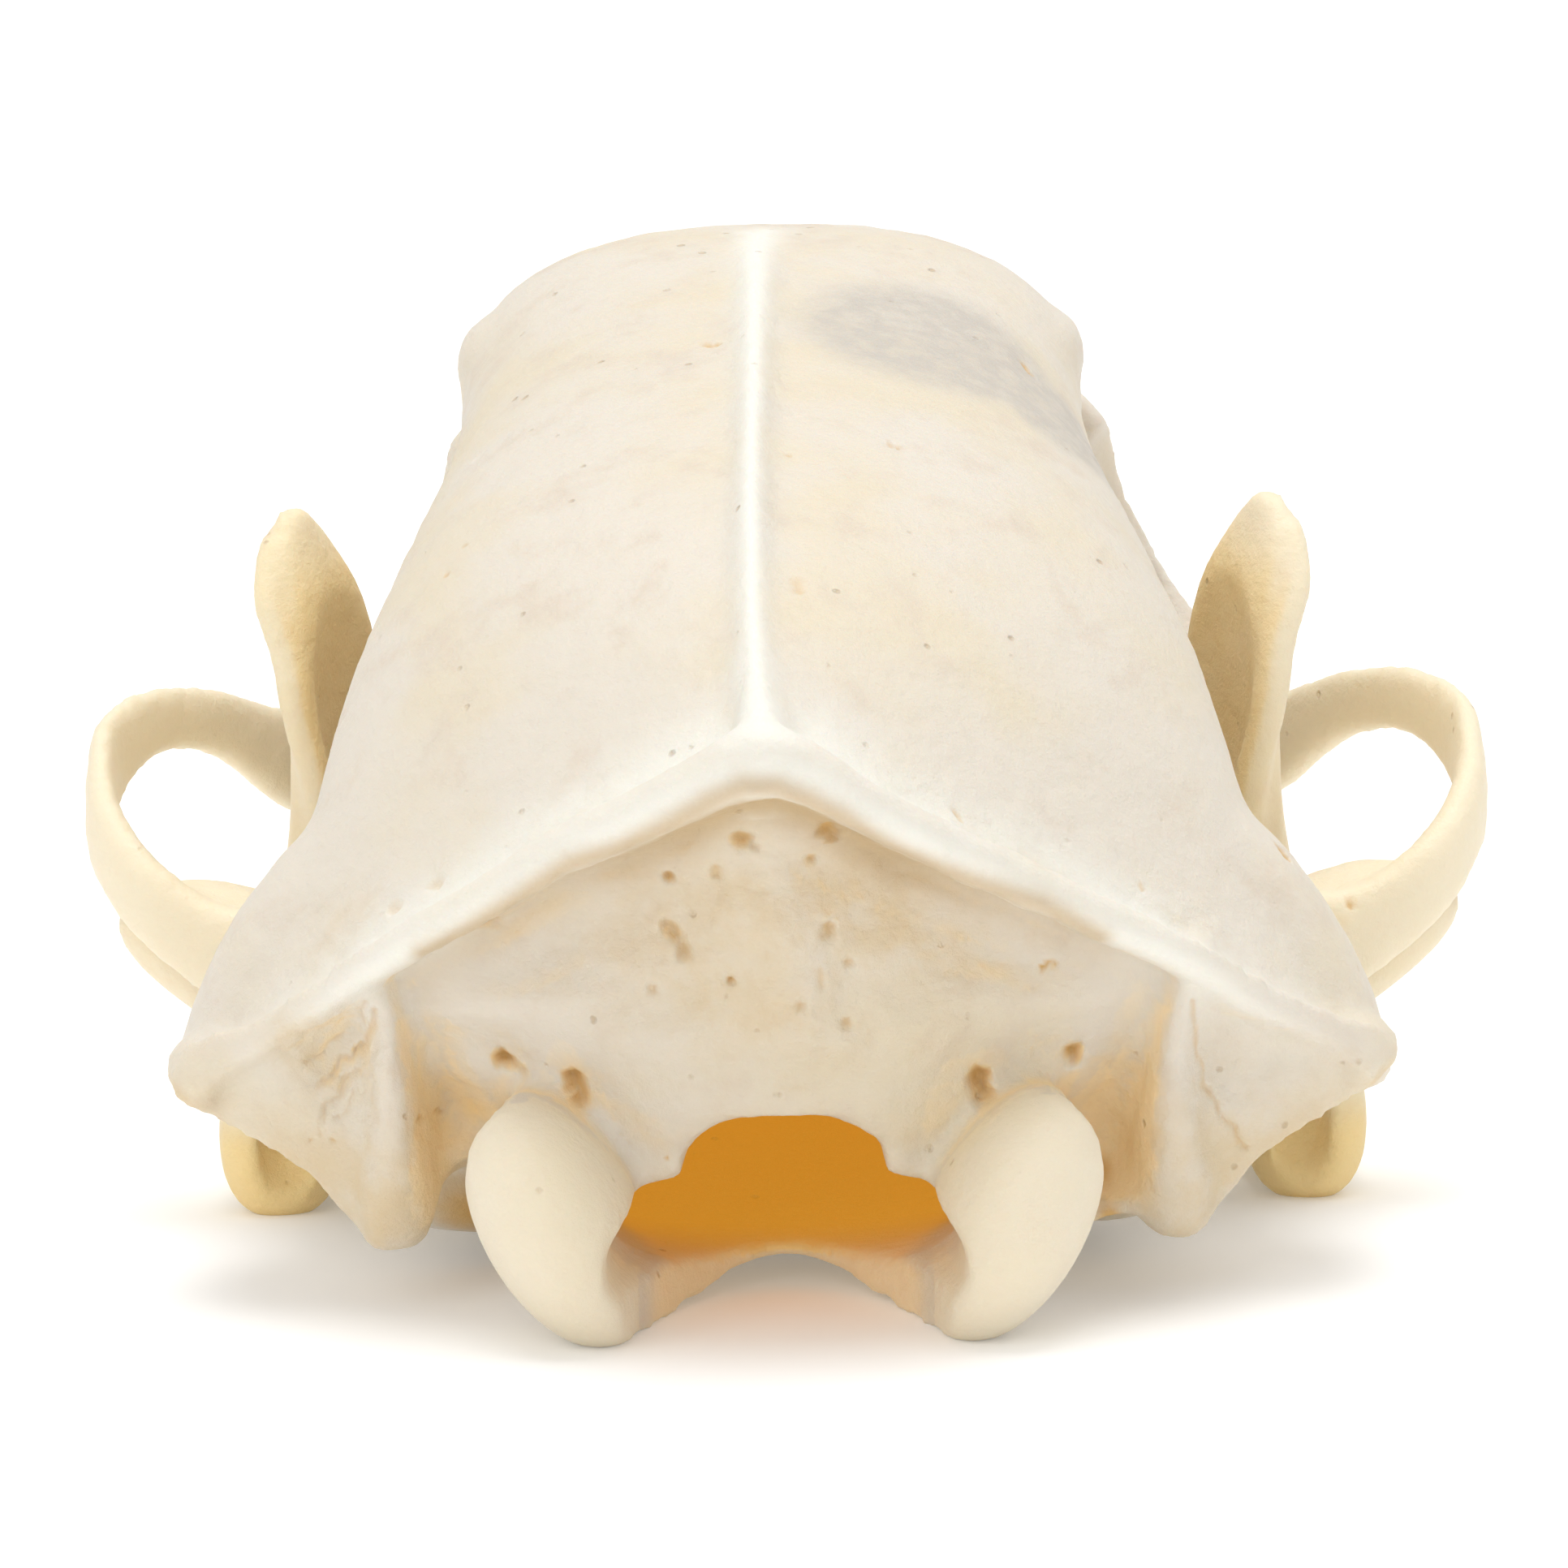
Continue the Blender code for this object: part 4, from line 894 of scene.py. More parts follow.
def cranium_forms():
    """Knobs, plates and ridges that grow on the vault."""
    single = [
        body("basioccipital", SKULL_BASE, 20, 36),
        ball("vermis_bulge", (0, 7.6, 4.6), (8.6, 3.6, 7.4)),
        ball("occipital_ring", (0, 8.0, -0.9), (8.4, 3.6, 4.4)),
        ribbon("sagittal_crest", SAGITTAL_CREST, 34, 12),
        ribbon("nuchal_band", NUCHAL_BAND, 80, 16, 2.0),
        body("maxilla", MAXILLA, 36),
    ]
    makers = [
        ear_flare,
        lambda: ball("condyle", (6.95, 4.1, -1.3), (2.5, 4.0, 4.45), (0, 28, 0)),
        lambda: ball("condyle_top", (8.0, 3.6, 0.3), (1.6, 2.8, 1.8)),
        lambda: ball("condyle_root", (4.4, 6.2, -4.6), (2.0, 3.2, 1.1)),
        lambda: ball("rim_knob", (5.15, 4.3, -3.4), (0.6, 1.2, 0.7)),
        side_plate,
        lambda: column("paroccipital", PAROCCIPITAL, 12),
        lambda: ball("mastoid", (17.1, 11.3, 1.5), (2.5, 2.8, 1.35)),
        lambda: ball("bulla", (9.6, 18.2, -2.7), (4.4, 6.2, 3.3), (0, 0, 18)),
        lambda: ball("meatus_lip", (14.2, 17.4, 0.9), (3.4, 3.0, 2.8)),
        lambda: ribbon("pterygoid", PTERYGOID, 14, 12),
        lambda: ball("postorbital", (9.1, 42.2, 16.7), (1.75, 2.8, 1.8), (0, 24, 0)),
    ]
    pairs = [piece for make in makers for piece in mirrored(make)]
    front = mirrored(lambda: column("orbit_front", ORBIT_FRONT, 22, ORBIT_YAW, 18))
    return single + pairs + swayed(front, ORBIT_SWAY)


def cranium_cuts():
    """Cavities, sockets and notches of the upper skull."""
    cuts = [
        body("brain_cavity", BRAIN_CAVITY, 34, 40),
        body("foramen_low", FORAMEN_LOW, 2, 40),
        body("foramen_high", FORAMEN_HIGH, 2, 40),
        column("notch", BASION_NOTCH, 2, 0.0, 48, 1.8),
        ball("arch_below", (0, 8.0, -8.35), (4.4, 8.0, 3.7)),
        body("nasal_cavity", NASAL_CAVITY, 18, 28),
        ball("nasal_slant", (0, 73.4, 10.4), (9.0, 5.6, 6.0), (38, 0, 0)),
        body("choana", CHOANA, 10, 24),
        body("palate_arch", PALATE, 8, 24),
        ball("jugular_notch", (-9.95, 8.0, -3.7), (1.25, 4.4, 2.85)),
    ]
    makers = [
        lambda: ball("orbit", (15.4, 44.6, 9.4), (6.2, 5.8, 5.4), (0, -8, 0)),
        lambda: tube("infraorbital", (9.8, 60.0, 4.6), (12.6, 48.0, 6.2), 1.2),
        lambda: tube("ear_canal", (22.0, 17.2, 0.8), (12.6, 18.0, 0.0), 1.3),
        lambda: ball("condylar_hollow", (10.0, 4.9, 2.0), (1.7, 1.7, 1.9)),
    ]
    return cuts + [piece for make in makers for piece in mirrored(make)]


def joint_room():
    """Space for the hinge of the lower jaw."""
    inner, outer = (Vector(end) for end in HINGE)
    reach = outer - inner
    return spindle("joint_room", inner - reach * 0.3, outer + reach * 0.1, HINGE_RADIUS + 0.5)


def floor_block():
    """What lies below the table's top, in the skull's own frame."""
    cut = block("floor_cut", (-40.0, -40.0, REST_LEVEL - 30.0), (40.0, 120.0, REST_LEVEL))
    cut.data.transform(Matrix.Rotation(-REST_PITCH, 4, "X"))
    return cut


def grow(piece, voxel, rounds):
    """Grows the joined forms into one another as bone does."""
    modifier(piece, "REMESH", mode="VOXEL", voxel_size=voxel * MM)
    modifier(piece, "SMOOTH", factor=0.5, iterations=rounds)
    keep_largest(piece)


def thin_out(piece, share, weight):
    """Fewer faces where the weight, one number a vertex, is high."""
    group = piece.vertex_groups.new(name="thin")
    for value in np.unique(weight):
        group.add(np.nonzero(weight == value)[0].tolist(), float(value), "REPLACE")
    modifier(piece, "DECIMATE", ratio=share, vertex_group=group.name, vertex_group_factor=1.0)
    piece.vertex_groups.clear()


def crown(name, x, y, gum, length, width, height, lean, splay, upward, yaw):
    """One cusp or simple tooth, from below its gum to its rounded tip."""
    way = 1 if upward else -1
    along, across = turned_axes(yaw)
    profile = [(rise * height, share) for rise, share in CROWN_PROFILE]
    rings = []
    for up, share in [(-GUM_SINK, ROOT_WIDTH)] + profile:
        t = max(0.0, up / height) ** 1.5
        centre = Vector((x + splay * t, y + lean * t, gum + way * up))
        side, front = across * width / 2 * share, along * length / 2 * share
        rings.append(oval(centre, side, front, front, points=TOOTH_POINTS))
    return loft(name, rings)


def teeth(simple, grinders, gum, upward):
    """Teeth of one jaw's right side."""
    pieces = []
    for name, x, y, length, width, height, lean, splay in simple:
        yaw = ROW_YAW[name[0]]
        pieces.append(crown(name, x, y, gum, length, width, height, lean, splay, upward, yaw))
    for group in grinders:
        for x, y, length, width, height in group:
            yaw = CARNASSIAL_YAW if length > 1.5 * width else 0.0
            pieces.append(crown("cusp", x, y, gum, length, width, height, 0, 0, upward, yaw))
    return pieces


def off_path(flat, path):
    """Distance of each flat place from a path of one or more points."""
    path = [np.array(spot, float) for spot in path]
    away = np.linalg.norm(flat - path[0], axis=1)
    for start, end in zip(path, path[1:]):
        way = end - start
        t = np.clip((flat - start) @ way / (way @ way), 0, 1)
        away = np.minimum(away, np.linalg.norm(flat - start - t[:, None] * way, axis=1))
    return away


def plate_plane(wide, z):
    """How far forward the back face of a side plate lies."""
    base, outward, upward = PLATE
    return base + outward * (wide - PLATE_TOP[0]) + upward * (z - PLATE_TOP[1])


def side_plate():
    """Thin plate from the paroccipital process out to the mastoid, under the crest's end."""
    rows = []
    for z, inner, outer in SIDE_PLATE:
        middle = (inner + outer) / 2
        y = plate_plane(middle, z) + PLATE_THICKNESS / math.cos(PLATE_YAW + math.pi / 2)
        rows.append((z, middle, y, (outer - inner) / 2 / -math.sin(PLATE_YAW), PLATE_THICKNESS))
    return column("side_plate", rows, 34, PLATE_YAW, 32, 3.0)


def form_the_back(piece):
    """Clears the faces of the side plates, then models the hollows and swellings of the back."""
    spots, ways = places(piece), directions(piece)
    x, y, z = spots.T
    wide = np.abs(x)
    plane = plate_plane(wide, z)
    weight = smooth_step(wide, 13.0, 13.6) * (1 - smooth_step(wide, 17.6, 18.6))
    top = np.interp(wide, (12.6, 19.2), (5.0, 1.2))
    weight *= 1 - smooth_step(z, top - 0.9, top + 0.2)
    weight[(y < plane - 2.5) | (y > plane) | (ways[:, 1] > 0.3)] = 0
    y += weight * (plane - y)
    back = smooth_step(-ways[:, 1], 0.0, 0.5) * (y < BACK_ENDS_AT) * off_condyles(spots)
    for middle_x, middle_z, half_x, half_z, turn, depth in BACK_FORMS:
        c, s = math.cos(math.radians(turn)), math.sin(math.radians(turn))
        across = ((x - middle_x) * c + (z - middle_z) * s) / half_x
        along = ((z - middle_z) * c - (x - middle_x) * s) / half_z
        y += depth * np.exp(-(across**2 + along**2)) * back
    put(piece, np.stack((x, y, z), 1))


def off_condyles(spots):
    """0 on the smooth knuckles of the neck joint, 1 elsewhere."""
    y_skin = np.interp(spots[:, 2], (-5.0, -2.0, 2.0, 3.2), (6.0, 4.6, 3.9, 4.6))
    knuckle = (np.abs(spots[:, 0]) < 10.0) & (np.abs(spots[:, 0]) > 4.6) & (spots[:, 1] < y_skin)
    return 1.0 - (knuckle & (spots[:, 2] < 2.7))


def sharpen(piece):
    """Raises the ridge of the roof, and draws out the crest's lip and undercuts it."""
    spots, ways = places(piece), directions(piece)
    x, y, z = spots.T
    up = (ways[:, 2] > 0.2) & (z > 12)
    away = off_path(spots[:, :2], SAGITTAL_LINE)
    high = np.interp(y, (0, 1.5, 4, 20, 36, 43), (0.25, 0.36, 0.34, 0.32, 0.2, 0.0))
    z += high * bell(away, ridge_width(y)) * up
    facing = smooth_step(-ways[:, 1], -0.1, 0.5) * (y < 8)
    flat = spots[:, (0, 2)]
    lip, under = off_path(flat, CREST_LIP), off_path(flat + (0, 0.85), CREST_LIP)
    fade = 1 - smooth_step(np.abs(x), 8.0, 10.5)
    wave = 0.22 * np.array([noise.noise(Vector((v, 0, 3)) * 1.1) for v in x])
    y -= (0.32 + wave) * bell(lip, LIP_WIDTH) * facing * fade
    y += 0.5 * bell(under, 0.6) * facing * fade
    put(piece, np.stack((x, y, z), 1))


def ridge_width(y):
    """Half width of the roof's ridge, which splays out where it meets the nuchal crest."""
    return np.interp(y, (0, 1.5, 3.5, 7, 20, 32, 43), (2.3, 1.5, 0.85, 0.52, 0.48, 0.6, 0.8))


def refine(piece, choose):
    """Cuts in four the faces whose middle the given test picks."""
    faces = piece.data.polygons
    pick(piece, faces, "FACE", choose(read_rows(faces, "center") / MM))
    bpy.ops.mesh.subdivide(number_cuts=1)
    bpy.ops.mesh.quads_convert_to_tris()
    bpy.ops.object.mode_set(mode="OBJECT")


def near_pits(spots):
    """Whether each place lies on the back, along the ridge or near a pit of the roof."""
    x, y, z = spots.T
    chosen = (y < BACK_ENDS_AT) & (z > -5.2) | (np.abs(x + 0.6) < 1.5) & (y < 40) & (z > 13)
    for radius, _, _, path in ROOF_PITS:
        chosen |= (off_path(spots[:, :2], path) < radius + PIT_MARGIN) & (z > 1.5)
    return chosen


def carve(piece, pits, flat, facing, side):
    """Sinks pits and grooves straight into one side of a bone, and returns how much painted shade
    each place gets.
    """
    spots = places(piece)
    painted_shade = np.zeros(len(spots))
    for radius, depth, shade_strength, path in pits:
        away = off_path(spots[:, flat], path) / radius
        near = np.nonzero(away < 2.0)[0]
        away[near] += [0.45 * noise.noise(Vector(spots[n]) * 2.6) for n in near]
        sink = (1 - smooth_step(away, 0.0, 1.4)) * facing
        spots += 0.8 * depth * sink[:, None] * np.array(side)
        painted_shade = np.maximum(painted_shade, shade_strength * (1 - smooth_step(away, 0.1, 1.1)) * facing)
    put(piece, spots)
    return painted_shade


def roughen(piece, strength):
    """Small uneven relief: noise along the normals, by a strength for each vertex."""
    spots, ways = places(piece), directions(piece)
    lift = np.array([noise.fractal(Vector(spot) / ROUGH_SIZE, 0.8, 2.0, 4) for spot in spots])
    put(piece, spots + ways * (lift * strength)[:, None])


def patch_strength(spots, kind):
    """Strength at each place of one kind of the soft patches: stains, painted shade and painted
    glow.
    """
    total = np.zeros(len(spots))
    for mark, middle, halves, strength in STAINS_SHADE_AND_GLOW:
        if mark == kind:
            away = np.linalg.norm((spots - middle) / halves, axis=1)
            total = np.maximum(total, strength * (1 - smooth_step(away, 0.2, 1.0)))
    return total


def make_cranium(voxel):
    """Upper skull grown from its forms, with its openings and room for the jaw's hinge."""
    cranium = make_vault()
    boolean(cranium, cranium_forms(), "UNION")
    boolean(cranium, cranium_cuts(), "DIFFERENCE")
    arches = mirrored(lambda: ribbon("cheek_arch", ARCH, 60, 20))
    roofs = mirrored(lambda: ball("joint_roof", (16.8, 24.4, 1.75), (4.4, 1.9, 1.1), (0, -18, 14)))
    boolean(cranium, swayed(arches + roofs), "UNION")
    grow(cranium, voxel, CRANIUM_ROUNDS)
    boolean(cranium, swayed(mirrored(joint_room)) + [floor_block()], "DIFFERENCE")
    return cranium


def make_jaw(voxel):
    """Right half of the lower jaw without its teeth."""
    jaw = ribbon("mandible_right_bone", JAW_BODY, 60, 28)
    forms = [
        column("ramus", JAW_BLADE, 36, BLADE_YAW, 28),
        spindle("jaw_condyle", *HINGE, HINGE_RADIUS),
        ball("condyle_neck", (16.4, 27.0, -2.0), (1.4, 2.9, 2.8), (25, 0, 12)),
        column("back_rim", JAW_RIM, 24, BLADE_YAW, 16),
        ribbon("angle_scoop", ANGLE_SCOOP, 24, 24, 2.4),
    ]
    boolean(jaw, forms, "UNION")
    cuts = [
        ball("masseter_hollow", (18.4, 30.8, 0.6), (2.1, 4.0, 5.0), (0, 0, 18)),
        ball("coronoid_hollow", (14.3, 30.6, 8.6), (1.0, 2.9, 5.6), (0, 0, 20)),
        ribbon("angle_hollow", ANGLE_HOLLOW, 24, 24, 2.6),
    ]
    boolean(jaw, cuts, "DIFFERENCE")
    grow(jaw, voxel, JAW_ROUNDS)
    midline = block("midline", (-6.0, 40.0, -20.0), (0.15, 80.0, 10.0))
    boolean(jaw, [midline, floor_block()], "DIFFERENCE")
    keep_largest(jaw)
    return jaw


class Maths:
    """A socket that takes part in Python expressions, each step a Math node."""

    def __init__(self, tree, socket):
        self.tree = tree
        self.socket = socket

    def step(self, operation, *values):
        """One Math node on two values or links."""
        return build_node(self.tree, "ShaderNodeMath", {"operation": operation}, enumerate(values))

    def __add__(self, other):
        return self.step("ADD", self, other)

    def __radd__(self, other):
        return self.step("ADD", other, self)

    def __sub__(self, other):
        return self.step("SUBTRACT", self, other)

    def __rsub__(self, other):
        return self.step("SUBTRACT", other, self)

    def __mul__(self, other):
        return self.step("MULTIPLY", self, other)

    def __rmul__(self, other):
        return self.step("MULTIPLY", other, self)

    def within(self, low, high):
        """0 below one bound, 1 above the other, smooth between."""
        links = (("Value", self), ("From Min", low), ("From Max", high))
        return build_node(self.tree, "ShaderNodeMapRange",
                          {"interpolation_type": "SMOOTHSTEP"}, links)


def join(tree, socket, value):
    """Links a socket to an expression, or sets it to a plain value."""
    if isinstance(value, Maths):
        tree.links.new(value.socket, socket)
    else:
        socket.default_value = value


def build_node(tree, kind, settings, links, out=0):
    """Any node: its settings first, then the value or link of each of its sockets named."""
    new = tree.nodes.new(kind)
    for key, value in settings.items():
        setattr(new, key, value)
    for name, value in links:
        join(tree, new.inputs[name], value)
    return Maths(tree, new.outputs[out])


class Paint:
    """A material under way: its tree, its shader and the places that its patterns read."""

    def __init__(self, name):
        self.material = bpy.data.materials.new(name)
        self.material.use_nodes = True
        self.tree = self.material.node_tree
        self.shader = self.tree.nodes["Principled BSDF"]
        self.place = build_node(self.tree, "ShaderNodeTexCoord", {}, (), "Object")

    def node(self, kind, **links):
        return build_node(self.tree, kind, {}, links.items())

    def cloud(self, size_mm, detail=4.0, rough=0.55, stretch=(1, 1, 1), seed=0.0):
        """Soft noise whose features are about so many millimetres across."""
        spot = self.node("ShaderNodeMapping", Vector=self.place, Scale=stretch,
                         Location=(seed, seed * 0.7, -seed))
        return self.node("ShaderNodeTexNoise", Vector=spot, Scale=1 / (size_mm * MM),
                         Detail=detail, Roughness=rough)

    def cells(self, size_mm, seed=0.0):
        """Distance from the nearest of many scattered points, so many millimetres apart."""
        spot = self.node("ShaderNodeMapping", Vector=self.place, Location=(seed, -seed, seed))
        return self.node("ShaderNodeTexVoronoi", Vector=spot, Scale=1 / (size_mm * MM))

    def mark(self, name):
        """One of the piece's own painted marks, 0 to 1."""
        return build_node(self.tree, "ShaderNodeAttribute", {"attribute_name": name}, (), "Fac")

    def blend(self, factor, first, second):
        """The first colour, turning to the second as the factor rises."""
        links = zip((0, 6, 7), (factor, first, second))
        return build_node(self.tree, "ShaderNodeMix", {"data_type": "RGBA"}, links, 2)

    def set(self, name, value):
        join(self.tree, self.shader.inputs[name], value)

    def bump(self, height, strength, reach_mm):
        """Fine relief that only the light sees."""
        normal = self.node("ShaderNodeBump", Height=height, Strength=strength,
                           Distance=reach_mm * MM)
        self.set("Normal", normal)


def tinted(colour, *shares):
    """A colour with each of its channels multiplied, as a node socket takes it."""
    return (*[value * share for value, share in zip(colour, shares or (1, 1, 1))], 1)


def bone_paint(name, cream, warm, tan_stain_and_shade):
    """Dry cleaned bone: cream with warmer clouds and fine pores, its hollows stained and given
    painted shade, painted shade in its pits and under the crest's lip, a painted highlight on its
    ridges and a painted glow in the cavity.
    """
    paint = Paint(name)
    broad = paint.cloud(8.0, 3.0)
    middle = paint.cloud(2.6, 5.0, 0.6, seed=2.0)
    fine = paint.cloud(0.9, 5.0, 0.65, seed=3.0)
    golden, pinkish = tinted(cream, 1.0, 0.965, 0.86), tinted(cream, 0.93, 0.875, 0.83)
    colour = paint.blend(broad.within(0.4, 0.68), tinted(cream), golden)
    colour = paint.blend(middle.within(0.5, 0.72) * 0.7, colour, pinkish)
    colour = paint.blend(paint.mark("warm"), colour, tinted(warm))
    # Painted highlight along the roof's ridge and the nuchal crest's band.
    colour = paint.blend(paint.mark("ridge_highlight") * 0.9, colour, RIDGE_HIGHLIGHT)
    # Tan: partly stain, partly painted shade under the crest and in the lower parts of the back.
    cloudy = paint.mark("tan_stain_and_shade") * (0.45 + middle.within(0.3, 0.7) * 0.75)
    colour = paint.blend(cloudy.within(0.0, 1.0), colour, tinted(cream, 0.94, 0.83, 0.63))
    # Warm colour in shut-in hollows: partly stain, partly painted shade for the warm light in
    # them.
    colour = paint.blend(paint.mark("hollow_stain_and_shade") * 0.85, colour, tinted(tan_stain_and_shade))
    # Painted shade under the crest's lip, and a darker yellowish rim along it.
    colour = paint.blend(paint.mark("lip"), colour, tinted(cream, 0.77, 0.63, 0.43))
    patchy = paint.mark("grey").within(0.1, 0.7) * (0.62 + fine.within(0.35, 0.62) * 0.38)
    colour = paint.blend(patchy, colour, GREY_PATCH)
    # Painted glow: orange base colour deep in the brain cavity.
    colour = paint.blend(paint.mark("painted_glow"), colour, PAINTED_GLOW_BASE)
    pores = paint.cells(1.4, seed=1.0)
    speck = (1 - pores.within(0.04, 0.12)) * middle.within(0.5, 0.6)
    colour = paint.blend(speck * 0.45, colour, PORE_BROWN)
    # Painted shade in the pits, grooves and deep holes.
    colour = paint.blend(paint.mark("pit_shade"), colour, PIT_SHADE_BROWN)
    # Painted glow: the cavity's bone gives off a weak orange light, standing in for light through
    # thin bone.
    painted_glow_colour = paint.blend(paint.mark("painted_glow"), (0, 0, 0, 1), PAINTED_GLOW_EMISSION)
    paint.set("Emission Color", painted_glow_colour)
    paint.set("Emission Strength", 0.48)
    paint.set("Base Color", colour)
    paint.set("Roughness", 0.44 + fine * 0.2 + paint.mark("tan_stain_and_shade") * 0.1)
    paint.set("Subsurface Weight", 0.2)
    paint.set("Subsurface Radius", (1.0, 0.55, 0.3))
    paint.set("Subsurface Scale", 0.8 * MM)
    grain = paint.cloud(0.45, 4.0, 0.6, seed=5.0)
    rough = paint.cloud(1.6, 6.0, 0.7, seed=8.0)
    height = grain * 0.3 + rough * (0.6 + paint.mark("tan_stain_and_shade") * 0.8) - speck * 0.6
    paint.bump(height, 0.6, 0.3)
    return paint


def tooth_paint():
    """Smooth enamel, yellower in clouds and browner at its neck."""
    paint = Paint("tooth_enamel")
    cloud = paint.cloud(2.0, 4.0)
    colour = paint.blend(cloud, ENAMEL, OLD_ENAMEL)
    colour = paint.blend(paint.mark("neck") * 0.6, colour, TOOTH_NECK)
    paint.set("Base Color", colour)
    paint.set("Roughness", 0.2 + cloud * 0.12)
    paint.set("Subsurface Weight", 0.15)
    paint.set("Subsurface Scale", 0.6 * MM)
    paint.bump(paint.cloud(0.8, 3.0, stretch=(1, 1, 0.25)), 0.15, 0.05)
    return paint


def set_mark(piece, name, values):
    """Keeps one number a vertex under a name that the material reads."""
    layer = piece.data.attributes.new(name, "FLOAT", "POINT")
    layer.data.foreach_set("value", np.clip(values, 0, 1).astype(np.float32))


def finish_piece(piece, paint, nodes):
    """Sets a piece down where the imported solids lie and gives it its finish."""
    piece.data.transform(REST)
    piece.data.materials.clear()
    piece.data.materials.append(paint.material)
    only(piece)
    bpy.ops.object.shade_smooth()
    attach(piece, "root")
    if nodes:
        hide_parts(*nodes)


def cavity_tree():
    """The walls of the brain cavity, to be asked how near a place is to them."""
    cavity = body("cavity_walls", BRAIN_CAVITY, 34, 40)
    tree = BVHTree.FromPolygons(
        [v.co / MM for v in cavity.data.vertices], [p.vertices for p in cavity.data.polygons]
    )
    bpy.data.objects.remove(cavity)
    return tree


def near_cavity(spots, tree):
    """Whether each place lies on the walls of the brain cavity or within it."""
    found = np.zeros(len(spots), bool)
    x, y, _ = spots.T
    for number in np.nonzero((np.abs(x) < 13) & (y > 6.5) & (y < 42.5))[0]:
        spot = Vector(spots[number])
        near, way, _, away = tree.find_nearest(spot, 6.0)
        found[number] = near is not None and (away < 0.3 or (spot - near).dot(way) < 0)
    return found


def shade_jaw_inner_faces(side, y, z, ways):
    """Painted warm shade, yellower, on the inner faces of the coronoid blade and in the hollow at
    the jaw's angle.
    """
    inward = smooth_step(-ways[:, 0] * side, 0.15, 0.7)
    blade = smooth_step(z, 3.0, 6.0) * (1 - smooth_step(z, 11.5, 14.0)) * inward
    tray = (y < 29) * (1 - smooth_step(z, -5.5, -3.5)) * smooth_step(-ways[:, 1], -0.2, 0.4)
    return np.maximum(0.6 * blade, tray)


def hollowness(piece, chosen):
    """How shut in each chosen vertex is by the bone around it, 0 in the open to 1."""
    spots, ways = places(piece), directions(piece)
    tree = BVHTree.FromPolygons(spots.tolist(), [p.vertices for p in piece.data.polygons])
    turns = np.arange(RAYS)
    height = 1 - 2 * (turns + 0.5) / RAYS
    level = np.sqrt(1 - height**2)
    angle = turns * GOLDEN_ANGLE
    rays = np.stack((level * np.cos(angle), level * np.sin(angle), height), 1)
    shut = np.zeros(len(spots))
    for number in np.nonzero(chosen)[0]:
        start = Vector(spots[number] + ways[number] * RAY_START)
        lean = rays @ ways[number]
        hits = total = 0.0
        for ray in np.nonzero(lean > 0.2)[0]:
            total += lean[ray]
            if tree.ray_cast(start, Vector(rays[ray]), RAY_REACH)[0] is not None:
                hits += lean[ray]
        shut[number] = hits / total
    return smooth_step(shut, 0.2, 0.8)


def triangles(piece):
    """How many triangles the faces of a piece come to."""
    return sum(len(p.vertices) - 2 for p in piece.data.polygons)


def thin_hidden(cranium, cavity):
    """Fewer faces in the brain cavity, underneath and in front, where the photograph sees none."""
    spots = places(cranium)
    _, y, z = spots.T
    inside = near_cavity(spots, cavity)
    hidden = (inside & (y > 12)) | ((z < 0.5) & (y > 14)) | (y > 50)
    thin_out(cranium, 0.5, np.where(hidden, 1.0, 0.02))


def pit_and_roughen(cranium, cavity):
    """Rough relief and pits of the back, and the pits of the roof, with the painted shade in them.
    """
    spots, ways = places(cranium), directions(cranium)
    _, y, z = spots.T
    outside = ~near_cavity(spots, cavity)
    smooth = off_condyles(spots)
    back = smooth_step(-ways[:, 1], 0.0, 0.4) * (y < BACK_ENDS_AT) * outside * smooth
    roof = smooth_step(ways[:, 2], 0.1, 0.4) * (z > 1.5) * outside
    rough = (0.04 + 0.14 * patch_strength(spots, "tan_stain_and_shade") * back) * smooth
    roughen(cranium, rough * outside)
    painted_shade = carve(cranium, BACK_PITS, (0, 2), back, (0, 1, 0))
    painted_shade = np.maximum(painted_shade, carve(cranium, ROOF_PITS, (0, 1), roof, (0, 0, -1)))
    # Painted shade in the pits and holes of the upper skull.
    set_mark(cranium, "pit_shade", np.maximum(painted_shade, patch_strength(spots, "pit_shade")))


